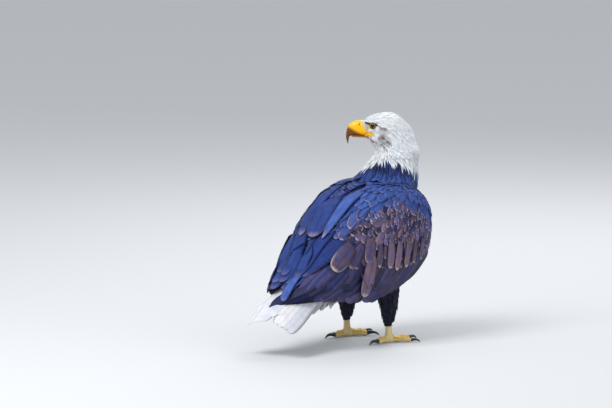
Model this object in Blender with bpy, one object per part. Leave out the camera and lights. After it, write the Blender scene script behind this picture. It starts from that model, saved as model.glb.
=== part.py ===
"""A bald eagle, standing, life size: a still model in closed solids.

Metres, +Z up. The bird's body faces -Y, its left side is +X, and both feet stand on Z = 0. The head is
turned over the left shoulder. Body, neck and head are one loft, parted by thin gaps into their nodes.
The folded wings are curved shells round the trunk, and the tail is an arched fan.
"""

import math

import bmesh
import bpy
import numpy as np
from mathutils import Matrix, Vector

# ---- Driving dimensions -------------------------------------------------------------------------
GAP = 0.0003  # between pieces that meet
NECK_Y = -0.1145  # the neck and head stand on this vertical axis
HEAD_TURN = math.radians(135)  # from straight ahead (-Y) round to the bird's left and back
CROWN_Z = 0.611
BODY_POINTS = 26  # points round each ring of the body loft
WING_SPAN_POINTS = 7  # points down a wing's outer face, and as many down its inner face

HEAD_FORWARD = Vector((math.sin(HEAD_TURN), -math.cos(HEAD_TURN), 0))
HEAD_LEFT = Vector((math.cos(HEAD_TURN), math.sin(HEAD_TURN), 0))
HEAD_AXIS = Vector((0, NECK_Y, 0))

FOOT_X = 0.079
FOOT_Y = -0.038
ANKLE_Z = 0.056  # where the leg feathers end

TAIL_ROOT = Vector((0, 0.1315, 0.203))
TAIL_PITCH = math.radians(26.4)
TAIL_SWING = math.radians(8)  # towards the bird's right
TAIL_LENGTH = 0.281
TAIL_FEATHERS = 12
TAIL_ROOT_HALF = 0.028
TAIL_TIP_HALF = 0.078
TAIL_ARCH = 0.026  # the middle feathers lie this much higher than the outer ones

# Body rings, tail end first: centre y and z, tilt of the ring's plane, half-width, and how far the
# ring reaches up (back) and down (belly) from its centre.
BODY_RINGS = (
    (0.230, 0.150, 26, 0.034, 0.008, 0.010),
    (0.182, 0.173, 28, 0.052, 0.022, 0.034),
    (0.131, 0.205, 32, 0.067, 0.046, 0.064),
    (0.070, 0.252, 36, 0.088, 0.076, 0.076),
    (0.005, 0.301, 38, 0.104, 0.096, 0.092),
    (-0.055, 0.343, 43, 0.107, 0.098, 0.104),
    (-0.094, 0.376, 55, 0.100, 0.084, 0.102),
    (-0.110, 0.410, 72, 0.088, 0.074, 0.080),
)
# Neck and head rings, level: height, reach towards the bill and towards the nape, half-width.
HEAD_RINGS = (
    (0.440, 0.083, 0.080, 0.077),
    (0.459, 0.068, 0.082, 0.068),
    (0.481, 0.047, 0.082, 0.059),
    (0.501, 0.035, 0.080, 0.052),
    (0.518, 0.039, 0.078, 0.047),
    (0.534, 0.051, 0.076, 0.042),
    (0.546, 0.060, 0.073, 0.040),
    (0.560, 0.063, 0.067, 0.038),
    (0.574, 0.067, 0.060, 0.036),
    (0.586, 0.069, 0.048, 0.033),
    (0.597, 0.057, 0.037, 0.028),
    (0.606, 0.033, 0.025, 0.020),
    (CROWN_Z, 0.008, 0.008, 0.008),
)
TAIL_COVERT_RING, TRUNK_RING, NECK_RING = 2, 7, 12  # the rings where one node ends and the next begins
STEPS_BETWEEN_RINGS = 2

# A folded wing, front to back: y, half-width of the bird there, then the heights of the wing's top
# edge, of its widest line and of its lower edge, and how far its top edge is from the midline.
WING_STATIONS = (
    (-0.166, 0.102, 0.364, 0.315, 0.268, 0.086),
    (-0.160, 0.120, 0.386, 0.313, 0.243, 0.082),
    (-0.146, 0.134, 0.407, 0.311, 0.222, 0.076),
    (-0.120, 0.143, 0.425, 0.305, 0.205, 0.066),
    (-0.090, 0.146, 0.434, 0.295, 0.190, 0.054),
    (-0.050, 0.145, 0.436, 0.280, 0.166, 0.042),
    (0.000, 0.140, 0.433, 0.262, 0.145, 0.026),
    (0.040, 0.134, 0.420, 0.243, 0.133, 0.012),
    (0.075, 0.129, 0.398, 0.227, 0.129, 0.005),
    (0.136, 0.116, 0.345, 0.205, 0.133, 0.003),
    (0.175, 0.104, 0.296, 0.194, 0.135, 0.003),
    (0.207, 0.096, 0.248, 0.184, 0.137, 0.003),
    (0.247, 0.082, 0.208, 0.172, 0.140, 0.003),
    (0.303, 0.051, 0.166, 0.148, 0.131, 0.003),
    (0.352, 0.012, 0.133, 0.129, 0.123, 0.003),
)
WING_SHOULDER_POWER = 3.4  # how square the back is across
WING_THICK = 0.013
WING_EDGE_THICK = 0.0022
WING_LEAST_THICK = 0.0010  # of the flight feathers, which lie a little inside the wing's outline
WING_LOWER_TUCK = 0.12  # the lower edge comes in by this share of the half-width
COVERTS_END = 0.70  # share of the way down the wing where the coverts end
PRIMARIES_Y = 0.238
SECONDARY_TIPS = 11

# Feet: toe name, direction from straight ahead (towards the bird's outer side), length, radius at
# root and tip, and the claw's length along its curve and its thickness.
TOES = (
    ("middle", 2, 0.070, 0.0085, 0.0066, 0.034, 0.0048),
    ("inner", -38, 0.050, 0.0092, 0.0074, 0.040, 0.0056),
    ("outer", 42, 0.056, 0.0080, 0.0062, 0.029, 0.0044),
    ("hind", 176, 0.040, 0.0095, 0.0078, 0.042, 0.0060),
)
CLAW_TURN = math.radians(88)


# ---- Shared makers ------------------------------------------------------------------------------
def clear_scene():
    for obj in list(bpy.data.objects):
        bpy.data.objects.remove(obj, do_unlink=True)


def collection(name):
    found = bpy.data.collections.new(name)
    bpy.context.scene.collection.children.link(found)
    return found


def material(name, colour, roughness, metallic=0.0):
    found = bpy.data.materials.new(name)
    found.use_nodes = True
    shader = found.node_tree.nodes["Principled BSDF"]
    shader.inputs["Base Color"].default_value = (*colour, 1)
    shader.inputs["Roughness"].default_value = roughness
    shader.inputs["Metallic"].default_value = metallic
    return found


def smooth_rows(rows, at):
    """The rows' values at position `at`, counted in rows, on a Catmull-Rom curve through them."""
    rows = np.asarray(rows, float)
    i = min(max(int(math.floor(at)), 0), len(rows) - 2)
    t = at - i
    p1, p2 = rows[i], rows[i + 1]
    p0 = rows[i - 1] if i > 0 else 2 * p1 - p2
    p3 = rows[i + 2] if i + 2 < len(rows) else 2 * p2 - p1
    m1, m2 = (p2 - p0) / 2, (p3 - p1) / 2
    t2, t3 = t * t, t * t * t
    return (2 * t3 - 3 * t2 + 1) * p1 + (t3 - 2 * t2 + t) * m1 + (3 * t2 - 2 * t3) * p2 + (t3 - t2) * m2


def loft(name, rings, finish, home, shell=False):
    """A closed solid through rings of as many points each, capped at both ends. A shell's rings run down
    one face and back up the other, so its caps are strips of quads across its thickness."""
    mesh = bmesh.new()
    loops = [[mesh.verts.new(point) for point in ring] for ring in rings]
    for low, high in zip(loops, loops[1:]):
        for k in range(len(low)):
            after = (k + 1) % len(low)
            mesh.faces.new((low[k], low[after], high[after], high[k]))
    for loop in (loops[0][::-1], loops[-1]):
        if shell:
            for k in range(len(loop) // 2 - 1):
                mesh.faces.new((loop[k], loop[k + 1], loop[-2 - k], loop[-1 - k]))
        else:
            mesh.faces.new(loop)
    bmesh.ops.recalc_face_normals(mesh, faces=mesh.faces)
    if mesh.calc_volume(signed=True) < 0:
        bmesh.ops.reverse_faces(mesh, faces=mesh.faces)
    data = bpy.data.meshes.new(name)
    mesh.to_mesh(data)
    mesh.free()
    data.materials.append(finish)
    data.shade_smooth()
    data.set_sharp_from_angle(angle=math.radians(50))
    obj = bpy.data.objects.new(name, data)
    home.objects.link(obj)
    return obj


def cut(obj, cutter, operation="DIFFERENCE"):
    """Applies one Boolean to obj. The cutter stays in the scene, hidden."""
    cutter.hide_render = True
    cutter.display_type = "WIRE"
    modifier = obj.modifiers.new("cut", "BOOLEAN")
    modifier.operation = operation
    modifier.object = cutter
    bpy.context.view_layer.update()
    graph = bpy.context.evaluated_depsgraph_get()
    result = bpy.data.meshes.new_from_object(obj.evaluated_get(graph))
    obj.modifiers.clear()
    obj.data = result


def mirrored(obj, name, home):
    """A copy of obj on the bird's other side."""
    data = obj.data.copy()
    data.transform(Matrix.Scale(-1, 4, (1, 0, 0)))
    data.flip_normals()
    other = bpy.data.objects.new(name, data)
    home.objects.link(other)
    return other


def solid(name, mesh, home):
    data = bpy.data.meshes.new(name)
    mesh.to_mesh(data)
    mesh.free()
    obj = bpy.data.objects.new(name, data)
    home.objects.link(obj)
    return obj


def tube_rings(path, radii, sides, squash=1.0, first=None, last=None):
    """Rings round a path: each is square to the path, and squash times as high as it is wide. first
    and last are directions the end rings are square to instead."""
    rings = []
    for i, (point, radius) in enumerate(zip(path, radii)):
        along = (path[min(i + 1, len(path) - 1)] - path[max(i - 1, 0)]).normalized()
        if i == 0 and first:
            along = first
        if i == len(path) - 1 and last:
            along = last
        side = along.cross(Vector((0, 0, 1)))
        if side.length < 1e-4:
            side = Vector((1, 0, 0))
        side.normalize()
        up = side.cross(along).normalized()
        turn = [2 * math.pi * k / sides for k in range(sides)]
        rings.append([point + radius * (math.cos(a) * side + squash * math.sin(a) * up) for a in turn])
    return rings


# ---- Body, neck and head ------------------------------------------------------------------------
def trunk_ring(y, z, tilt_deg, half_width, up, down):
    tilt = math.radians(tilt_deg)
    back = Vector((0, math.sin(tilt), math.cos(tilt)))
    ring = []
    for k in range(BODY_POINTS):
        turn = 2 * math.pi * k / BODY_POINTS
        reach = (up if math.cos(turn) > 0 else down) * math.cos(turn)
        ring.append(Vector((0, y, z)) + Vector((half_width * math.sin(turn), 0, 0)) + back * reach)
    return ring


def head_ring(z, front, rear, half_width):
    """A level ring round the head's axis. Its points stand at the same bearings as a trunk ring's,
    so the loft doesn't twist where the head turns."""
    ring = []
    for k in range(BODY_POINTS):
        turn = 2 * math.pi * k / BODY_POINTS - (math.pi - HEAD_TURN)
        reach = (front if math.cos(turn) > 0 else rear) * math.cos(turn)
        across = half_width * math.sin(turn)
        ring.append(HEAD_AXIS + Vector((0, 0, z)) + HEAD_FORWARD * reach - HEAD_LEFT * across)
    return ring


def body_rings():
    rings = [trunk_ring(*row) for row in BODY_RINGS] + [head_ring(*row) for row in HEAD_RINGS]
    return np.array([[tuple(p) for p in ring] for ring in rings])


def body_piece(name, start, end, finish, home, grow=0.0):
    rows = body_rings()
    middle_points = rows.mean(axis=1, keepdims=True)
    outward = rows - middle_points
    rows = rows + outward * grow / np.linalg.norm(outward, axis=2, keepdims=True)
    clear = 0.012  # of a ring's step: about 0.4 mm
    first = start + (clear if start > 0 else 0)
    last = end - (clear if end < len(rows) - 1 else 0)
    middle = np.arange(start * STEPS_BETWEEN_RINGS + 1, end * STEPS_BETWEEN_RINGS) / STEPS_BETWEEN_RINGS
    at = [first, *middle, last]
    return loft(name, [smooth_rows(rows, x) for x in at], finish, home)


# ---- Wings --------------------------------------------------------------------------------------
def wing_station(y):
    """A wing's sizes at distance y behind the body's centre."""
    ys = [row[0] for row in WING_STATIONS]
    i = int(np.searchsorted(ys, y, side="right")) - 1
    i = min(max(i, 0), len(ys) - 2)
    return smooth_rows(WING_STATIONS, i + (y - ys[i]) / (ys[i + 1] - ys[i]))[1:]


def wing_outline(y, share):
    """Point (x, z) on the wing's outer face at y, at a share of the way from top edge to lower edge."""
    half, top, middle, low, inner = wing_station(y)
    power = 2 / WING_SHOULDER_POWER
    first = math.asin(min(1.0, (inner / half) ** (1 / power)))
    split = 0.52
    if share <= split:
        turn = first + (math.pi / 2 - first) * share / split
        return half * math.sin(turn) ** power, middle + (top - middle) * abs(math.cos(turn)) ** power
    down = (share - split) / (1 - split)
    return half * (1 - WING_LOWER_TUCK * down * down), middle + (low - middle) * down


def wing_loop(side, y, shares, grow, drop=0.0, thick_share=1.0):
    """The closed section of a wing piece at y: down its outer face and back up its inner one."""
    outer, inner = [], []
    for i, share in enumerate(shares):
        x, z = wing_outline(y, share)
        x1, z1 = wing_outline(y, max(0.0, share - 0.01))
        x2, z2 = wing_outline(y, min(1.0, share + 0.01))
        length = math.hypot(x2 - x1, z2 - z1)
        tx, tz = (x2 - x1) / length, (z2 - z1) / length
        ends = {0: -1, len(shares) - 1: 1}.get(i, 0) * max(grow, 0.0)
        x, z = x + tx * ends, z + tz * ends
        edge = min(1.0, (1 - share) / 0.35)
        thick = (WING_EDGE_THICK + (WING_THICK - WING_EDGE_THICK) * edge) * thick_share
        depth = max(thick + grow, WING_LEAST_THICK - grow)
        lower = drop * max(0.0, (share - 0.8) / 0.2)
        outer.append(Vector((side * (x - tz * grow), y, z + tx * grow - lower)))
        inner.append(Vector((side * (x + tz * depth), y, z - tx * depth - lower)))
    return outer + inner[::-1]


def secondary_drop(y):
    """The tips of the secondaries hang in a row of shallow scallops."""
    share = (y - WING_STATIONS[0][0]) / (PRIMARIES_Y - WING_STATIONS[0][0])
    wave = (share * SECONDARY_TIPS) % 1
    return 0.005 * (1 - wave) ** 1.5 if 0.12 < share < 1 else 0.0


def even(start, end, count):
    return [start + (end - start) * k / (count - 1) for k in range(count)]


FRONT_Y, TIP_Y = WING_STATIONS[0][0], WING_STATIONS[-1][0]
WING_NOSE = {FRONT_Y: 0.35, FRONT_Y + 0.003: 0.65, FRONT_Y + 0.008: 0.85}  # thinner at the bend
COVERT_YS = [*WING_NOSE, FRONT_Y + 0.015, *even(FRONT_Y + 0.028, PRIMARIES_Y, 19)]
SECONDARY_YS = [*WING_NOSE, FRONT_Y + 0.015, *even(FRONT_Y + 0.028, PRIMARIES_Y, 33)]
PRIMARY_YS = even(PRIMARIES_Y + GAP, TIP_Y, 8)


def wing_pieces(finishes, home):
    """The left wing's three shells, then their mirror images."""
    clear = 0.0019  # of the way down the wing: about 0.5 mm
    upper = even(0, COVERTS_END - clear, WING_SPAN_POINTS)
    lower = even(COVERTS_END + clear, 1, 5)
    whole = even(0, 1, WING_SPAN_POINTS)
    nose = [WING_NOSE.get(y, 1) for y in SECONDARY_YS]
    thins = np.linspace(0.7, 0.2, len(PRIMARY_YS))
    loops = {
        "coverts": [wing_loop(1, y, upper, 0, thick_share=WING_NOSE.get(y, 1)) for y in COVERT_YS],
        "secondaries": [
            wing_loop(1, y, lower, -0.0012, secondary_drop(y), 0.8 * n) for y, n in zip(SECONDARY_YS, nose)
        ],
        "primaries": [wing_loop(1, y, whole, -0.0010, 0, thin) for y, thin in zip(PRIMARY_YS, thins)],
    }
    for name, rings in loops.items():
        piece = loft(f"wing_left_{name}", rings, finishes[name], home, shell=True)
        mirrored(piece, f"wing_right_{name}", home)


def wing_cutter(side, home):
    """The whole wing, a little larger, to cut its room out of the body."""
    ys = [FRONT_Y - 0.0006, *COVERT_YS[1:], *PRIMARY_YS[1:]]
    spans = [*even(0, COVERTS_END, WING_SPAN_POINTS), *even(COVERTS_END, 1, WING_SPAN_POINTS)[1:]]
    loops = [wing_loop(side, y, spans, 0.0008, 0.004) for y in ys]
    return loft("wing_cutter", loops, finishes_for_cutters(), home, shell=True)


def finishes_for_cutters():
    return bpy.data.materials.get("cutter") or material("cutter", (0.8, 0.1, 0.1), 0.5)


# ---- Tail ---------------------------------------------------------------------------------------
def tail_frame():
    along = Vector((-math.sin(TAIL_SWING), math.cos(TAIL_SWING), 0)) * math.cos(TAIL_PITCH)
    along.z = -math.sin(TAIL_PITCH)
    left = Vector((math.cos(TAIL_SWING), math.sin(TAIL_SWING), 0))
    return along, left, left.cross(along).normalized()


def tail_fan(name, finish, home):
    """Twelve feathers, folded into a roof-shaped fan: the rings run across it from left to right."""
    along, left, up = tail_frame()
    rings = []
    tips = 4  # rings across each feather
    count = TAIL_FEATHERS * tips
    reaches = (0.10, 0.88, 1.0)
    for k in range(count + 1):
        across = 1 - 2 * k / count  # 1 at the left edge, -1 at the right edge
        inside = (k / tips) % 1 if 0 < k < count else 0.0
        round_tip = 0.013 * (2 * abs(inside - 0.5)) ** 3
        wedge = 0.016 * across * across
        split = 0.022 * math.exp(-(((across + 0.17) / 0.09) ** 2))
        length = TAIL_LENGTH - round_tip - wedge - split
        top, under = [], []
        for reach in reaches:
            half = TAIL_ROOT_HALF + (TAIL_TIP_HALF - TAIL_ROOT_HALF) * reach
            lift = TAIL_ARCH * (0.5 - across * across) * (0.4 + 0.6 * reach)
            place = TAIL_ROOT + along * (length * reach) + left * (half * across) + up * lift
            thick = 0.0034 - 0.0020 * reach
            top.append(place + up * thick / 2)
            under.append(place - up * thick / 2)
        rings.append(top + under[::-1])
    return loft(name, rings, finish, home, shell=True)


# ---- Bill, cere and eyes ------------------------------------------------------------------------
def head_point(forward, left, z):
    return HEAD_AXIS + HEAD_FORWARD * forward + HEAD_LEFT * left + Vector((0, 0, z))


def bill_rings(rows, top_power, low_power, sides=14):
    """Rings of a bill, each from its top and bottom points (forward, z) and its half-width. The powers
    are how square each ring's upper and lower halves are: 1 is round, less is squarer."""
    rings = []
    for top_forward, top_z, low_forward, low_z, half_width in rows:
        middle = ((top_forward + low_forward) / 2, (top_z + low_z) / 2)
        reach = ((top_forward - low_forward) / 2, (top_z - low_z) / 2)
        ring = []
        for k in range(sides):
            turn = 2 * math.pi * k / sides
            height = math.cos(turn)
            height = abs(height) ** top_power if height > 0 else -(abs(height) ** low_power)
            across = half_width * math.copysign(abs(math.sin(turn)) ** 0.9, math.sin(turn))
            ring.append(head_point(middle[0] + reach[0] * height, across, middle[1] + reach[1] * height))
        rings.append(ring)
    return rings


UPPER_BILL = (
    (0.0806, 0.5893, 0.0806, 0.5493, 0.0140),
    (0.0890, 0.5877, 0.0860, 0.5488, 0.0128),
    (0.0972, 0.5841, 0.0905, 0.5485, 0.0113),
    (0.1026, 0.5802, 0.0945, 0.5482, 0.0098),
    (0.1075, 0.5738, 0.0980, 0.5478, 0.0080),
    (0.1107, 0.5645, 0.1010, 0.5472, 0.0064),
    (0.1126, 0.5550, 0.1034, 0.5462, 0.0050),
    (0.1131, 0.5467, 0.1046, 0.5430, 0.0039),
    (0.1121, 0.5385, 0.1056, 0.5376, 0.0028),
    (0.1100, 0.5318, 0.1062, 0.5314, 0.0017),
    (0.1079, 0.5262, 0.1071, 0.5260, 0.0006),
)
CERE = (
    (0.0570, 0.5865, 0.0560, 0.5489, 0.0176),
    (0.0640, 0.5890, 0.0630, 0.5490, 0.0172),
    (0.0725, 0.5902, 0.0725, 0.5492, 0.0158),
    (0.0803, 0.5897, 0.0803, 0.5492, 0.0143),
)
LOWER_BILL = (
    (0.0480, 0.5483, 0.0480, 0.5425, 0.0150),
    (0.0600, 0.5484, 0.0600, 0.5424, 0.0146),
    (0.0700, 0.5486, 0.0700, 0.5430, 0.0130),
    (0.0800, 0.5485, 0.0800, 0.5434, 0.0108),
    (0.0900, 0.5480, 0.0900, 0.5438, 0.0080),
    (0.0975, 0.5470, 0.0970, 0.5445, 0.0046),
)
BILL_SHAPES = {"cere": (CERE, 1.0, 0.45), "bill_upper": (UPPER_BILL, 1.0, 0.45), "bill_lower": (LOWER_BILL, 0.4, 0.8)}
EYE_FORWARD, EYE_LEFT, EYE_Z, EYE_RADIUS = 0.0395, 0.0198, 0.5775, 0.0115


def eye(side_name, side, grow, finish, home):
    place = head_point(EYE_FORWARD, side * EYE_LEFT, EYE_Z)
    mesh = bmesh.new()
    bmesh.ops.create_uvsphere(mesh, u_segments=12, v_segments=7, radius=EYE_RADIUS + grow)
    bmesh.ops.translate(mesh, verts=mesh.verts, vec=place)
    data = bpy.data.meshes.new(f"eye_{side_name}")
    mesh.to_mesh(data)
    mesh.free()
    data.materials.append(finish)
    data.shade_smooth()
    obj = bpy.data.objects.new(f"eye_{side_name}", data)
    home.objects.link(obj)
    return obj


# ---- Legs ---------------------------------------------------------------------------------------
# Feathered leg, top to ankle: y, z, half-width, half-depth.
THIGH = (
    (-0.012, 0.262, 0.036, 0.058),
    (-0.020, 0.215, 0.034, 0.054),
    (-0.029, 0.170, 0.031, 0.043),
    (-0.035, 0.125, 0.026, 0.032),
    (-0.038, 0.085, 0.019, 0.022),
    (-0.037, ANKLE_Z, 0.0130, 0.0145),
)


def thigh(side_name, side, finish, home):
    rings = []
    for at in np.linspace(0, len(THIGH) - 1, 8):
        y, z, wide, deep = smooth_rows(THIGH, at)
        turn = [2 * math.pi * k / 14 for k in range(14)]
        rings.append([Vector((side * FOOT_X + wide * math.sin(a), y + deep * math.cos(a), z)) for a in turn])
    return loft(f"leg_{side_name}_feathered", rings, finish, home)


def foot(finish, claw_finish, home, helpers):
    """The left foot, then its mirror image: bare shank and four toes, joined, with the pads cut flat
    where they stand, and four claws."""
    centre = Vector((FOOT_X, FOOT_Y, 0))
    shank = [centre + Vector((0, 0.001 * k, z)) for k, z in enumerate((0.012, 0.026, 0.042, ANKLE_Z - GAP))]
    rings = tube_rings(shank, (0.0125, 0.0092, 0.0084, 0.0090), 12, last=Vector((0, 0, 1)))
    obj = loft("foot_left", rings, finish, home)
    pad = bmesh.new()
    bmesh.ops.create_uvsphere(pad, u_segments=14, v_segments=8, radius=0.0150)
    bmesh.ops.translate(pad, verts=pad.verts, vec=centre + Vector((0, -0.002, 0.0100)))
    cut(obj, solid("pad", pad, helpers), "UNION")
    claws = []
    for toe_name, bearing, length, root, tip, claw, thick in TOES:
        turn = math.radians(bearing)
        ahead = Vector((math.sin(turn), -math.cos(turn), 0))
        steps = 6
        path, radii = [], []
        for k in range(steps + 1):
            share = k / steps
            radius = root + (tip - root) * share + 0.0010 * math.cos(share * 6 * math.pi)
            rise = 0.0030 * math.sin(share * math.pi)
            place = centre + ahead * (0.004 + length * share)
            path.append(place + Vector((0, 0, radius * 0.9 + rise - 0.0008)))
            radii.append(radius)
        toe = loft(f"toe_{toe_name}", tube_rings(path, radii, 8, last=ahead), finish, helpers)
        cut(obj, toe, "UNION")
        claws.append(claw_piece(f"claw_left_{toe_name}", path[-1], ahead, claw, thick, claw_finish, home))
    block = bmesh.new()
    bmesh.ops.create_cube(block, size=0.4)
    bmesh.ops.translate(block, verts=block.verts, vec=centre + Vector((0, 0, -0.2)))
    cut(obj, solid("floor", block, helpers))
    for piece in (obj, *claws):
        mirrored(piece, piece.name.replace("left", "right"), home)


def claw_piece(name, start, ahead, length, thick, finish, home):
    """A claw: a tapering arc that leaves the toe level and ends pointing down at the floor."""
    radius = length / CLAW_TURN
    steps = 6
    path, radii = [], []
    for k in range(steps + 1):
        share = k / steps
        turn = -0.35 + (CLAW_TURN + 0.0) * share
        place = ahead * (math.sin(turn) - math.sin(-0.35)) + Vector((0, 0, math.cos(turn) - math.cos(-0.35)))
        path.append(start + ahead * GAP + place * radius)
        radii.append(thick * (1 - share) ** 0.75 + 0.0004)
    lowest = min(p.z - r for p, r in zip(path, radii))
    lift = max(0.0, 0.0004 - lowest)
    path = [p + Vector((0, 0, lift * (k / steps) ** 1.5)) for k, p in enumerate(path)]
    rings = tube_rings(path, radii, 6, first=ahead)
    return loft(name, rings, finish, home)


# ---- Assembly -----------------------------------------------------------------------------------
def stand_over_origin(pieces):
    """Moves the bird so that its box stands centred on the origin, with its soles at Z = 0."""
    corners = np.array([v.co[:] for obj in pieces for v in obj.data.vertices])
    low, high = corners.min(0), corners.max(0)
    shift = Vector((-(low[0] + high[0]) / 2, -(low[1] + high[1]) / 2, 0))
    for obj in pieces:
        obj.location = shift


def build():
    clear_scene()
    bird = collection("bald_eagle")
    helpers = collection("cutters")
    dark = material("body_plumage", (0.035, 0.036, 0.060), 0.6)
    white = material("white_plumage", (0.80, 0.81, 0.83), 0.7)
    brown = material("covert_plumage", (0.080, 0.058, 0.062), 0.6)
    slate = material("flight_plumage", (0.028, 0.032, 0.070), 0.5)
    horn = material("bill_horn", (0.85, 0.48, 0.03), 0.35)
    scales = material("foot_skin", (0.78, 0.55, 0.10), 0.5)
    black = material("claw_horn", (0.02, 0.02, 0.025), 0.3)
    iris = material("eye_glass", (0.75, 0.60, 0.20), 0.1)

    last = len(BODY_RINGS) + len(HEAD_RINGS) - 1
    tail_coverts = body_piece("tail_coverts", 0, TAIL_COVERT_RING, white, bird)
    trunk = body_piece("trunk", TAIL_COVERT_RING, TRUNK_RING, dark, bird)
    neck = body_piece("neck", TRUNK_RING, NECK_RING, white, bird)
    head = body_piece("head", NECK_RING, last, white, bird)
    wing_pieces({"coverts": brown, "secondaries": slate, "primaries": slate}, bird)
    for side in (1, -1):
        cutter = wing_cutter(side, helpers)
        for obj in (trunk, neck, tail_coverts):
            cut(obj, cutter)
    tail_space = body_piece("tail_space", 0, TAIL_COVERT_RING + 2, white, helpers, grow=0.0005)
    tail = tail_fan("tail", white, bird)
    cut(tail, tail_space)

    for name, (rows, top_power, low_power) in BILL_SHAPES.items():
        loft(name, bill_rings(rows, top_power, low_power), horn, bird)
        grown = [(tf, tz + GAP, lf, lz - GAP, wide + GAP) for tf, tz, lf, lz, wide in rows]
        grown[0] = (rows[0][0] - GAP, *grown[0][1:2], rows[0][2] - GAP, *grown[0][3:])
        if name != "bill_upper":
            cut(head, loft(f"{name}_space", bill_rings(grown, top_power, low_power), horn, helpers))
    for side_name, side in (("left", 1), ("right", -1)):
        eye(side_name, side, 0.0, iris, bird)
        cut(head, eye(f"{side_name}_socket", side, GAP, iris, helpers))

    trunk_space = body_piece("trunk_space", TAIL_COVERT_RING, TRUNK_RING, dark, helpers, grow=0.0005)
    for side_name, side in (("left", 1), ("right", -1)):
        leg = thigh(side_name, side, dark, bird)
        cut(leg, trunk_space)
    foot(scales, black, bird, helpers)
    helpers.hide_render = True
    stand_over_origin(list(bird.objects))


build()
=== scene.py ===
"""A bald eagle, standing, life size: skin, plumage, bill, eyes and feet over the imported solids.

Metres, +Z up. The body faces -Y, its left side is +X, both feet stand on Z = 0, and the head is turned
back over the left shoulder. One skin carries everything, and each feather is a thin closed vane that
leaves the skin and lies back over the one behind it.
"""

import math

import bmesh
import bpy
import numpy as np
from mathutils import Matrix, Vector
from mathutils.bvhtree import BVHTree
from mathutils.kdtree import KDTree


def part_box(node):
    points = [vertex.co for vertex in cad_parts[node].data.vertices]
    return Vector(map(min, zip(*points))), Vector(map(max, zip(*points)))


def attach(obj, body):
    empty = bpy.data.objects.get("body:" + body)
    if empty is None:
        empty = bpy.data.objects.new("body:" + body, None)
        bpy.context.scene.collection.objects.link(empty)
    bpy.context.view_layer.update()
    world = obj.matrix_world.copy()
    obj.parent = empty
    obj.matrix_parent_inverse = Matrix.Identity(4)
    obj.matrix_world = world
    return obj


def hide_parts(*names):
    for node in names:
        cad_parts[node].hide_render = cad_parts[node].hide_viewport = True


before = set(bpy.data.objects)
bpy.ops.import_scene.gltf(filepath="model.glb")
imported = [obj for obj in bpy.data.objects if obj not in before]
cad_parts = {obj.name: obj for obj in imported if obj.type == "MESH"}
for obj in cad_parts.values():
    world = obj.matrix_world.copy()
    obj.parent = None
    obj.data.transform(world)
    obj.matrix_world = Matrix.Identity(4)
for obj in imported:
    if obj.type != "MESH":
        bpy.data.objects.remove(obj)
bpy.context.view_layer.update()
random = np.random.default_rng(41)

# ---- Camera ------------------------------------------------------------------------------------
# A long lens, far off, looks at the bird's back from a little above, over its right hip. The bird
# stands in the right half of the frame, with room ahead of its gaze.
VIEW_AZIMUTH = math.radians(225)
VIEW_ELEVATION = math.radians(8)
FRAME_WIDTH = 1.6524  # what the frame takes in across, at the bird
LENS_MM, SENSOR_MM = 600, 36
VIEW_AIM = Vector((0.1355, -0.0344, 0.3651))

towards_camera = Vector((
    math.sin(VIEW_AZIMUTH) * math.cos(VIEW_ELEVATION),
    -math.cos(VIEW_AZIMUTH) * math.cos(VIEW_ELEVATION),
    math.sin(VIEW_ELEVATION),
))
bpy.ops.object.camera_add(location=VIEW_AIM + towards_camera * FRAME_WIDTH * LENS_MM / SENSOR_MM)
camera = bpy.context.object
camera.rotation_euler = towards_camera.to_track_quat("Z", "Y").to_euler()
camera.data.lens = LENS_MM
camera.data.sensor_width = SENSOR_MM
camera.data.clip_end = 200
bpy.context.scene.camera = camera

# ---- Skin --------------------------------------------------------------------------------------
# One hide from the face to the toes. It is the solids' own form, taken in by the depth of the coat,
# with the brow, lids, gape and the bare lores worked into the face, and bare scaly skin on the feet.
VOXEL = 0.0026
FLESH = [
    "head", "neck", "trunk", "tail_coverts", "wing_left_coverts", "wing_right_coverts",
    "leg_left_feathered", "leg_right_feathered", "foot_left", "foot_right",
]
FLIGHT = [f"wing_{side}_{part}" for side in ("left", "right") for part in ("secondaries", "primaries")]
HEAD_COAT, NECK_COAT, BODY_COAT, THIGH_COAT = 0.0025, 0.0070, 0.0085, 0.0060
FOREHEAD_COAT = 0.0030

eye_centres = {side: sum(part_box(f"eye_{side}"), Vector()) / 2 for side in ("left", "right")}
head_left = (eye_centres["left"] - eye_centres["right"]).normalized()
head_forward = head_left.cross(Vector((0, 0, 1))).normalized()
eye_radius = (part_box("eye_left")[1].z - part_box("eye_left")[0].z) / 2
EYE_AHEAD = 0.0395  # of the head's upright axis
head_axis = (eye_centres["left"] + eye_centres["right"]) / 2 - head_forward * EYE_AHEAD
head_axis.z = 0
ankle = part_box("foot_left")[1].z


def unit(vectors):
    vectors = np.asarray(vectors, float)
    return vectors / np.maximum(np.linalg.norm(vectors, axis=-1, keepdims=True), 1e-12)


def smooth_step(values, low, high):
    share = np.clip((np.asarray(values, float) - low) / (high - low), 0, 1)
    return share * share * (3 - 2 * share)


def head_coordinates(points):
    """Points as distance ahead of the head's axis, distance to its left, and height."""
    from_axis = np.asarray(points, float) - np.array(head_axis)
    return from_axis @ np.array(head_forward), from_axis @ np.array(head_left), from_axis[..., 2]


def head_place(ahead, left, height):
    """The reverse of head_coordinates."""
    flat = np.outer(ahead, np.array(head_forward)) + np.outer(left, np.array(head_left))
    return flat + np.array(head_axis) + np.outer(height, (0, 0, 1))


def select_only(piece):
    bpy.ops.object.select_all(action="DESELECT")
    piece.select_set(True)
    bpy.context.view_layer.objects.active = piece


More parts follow.
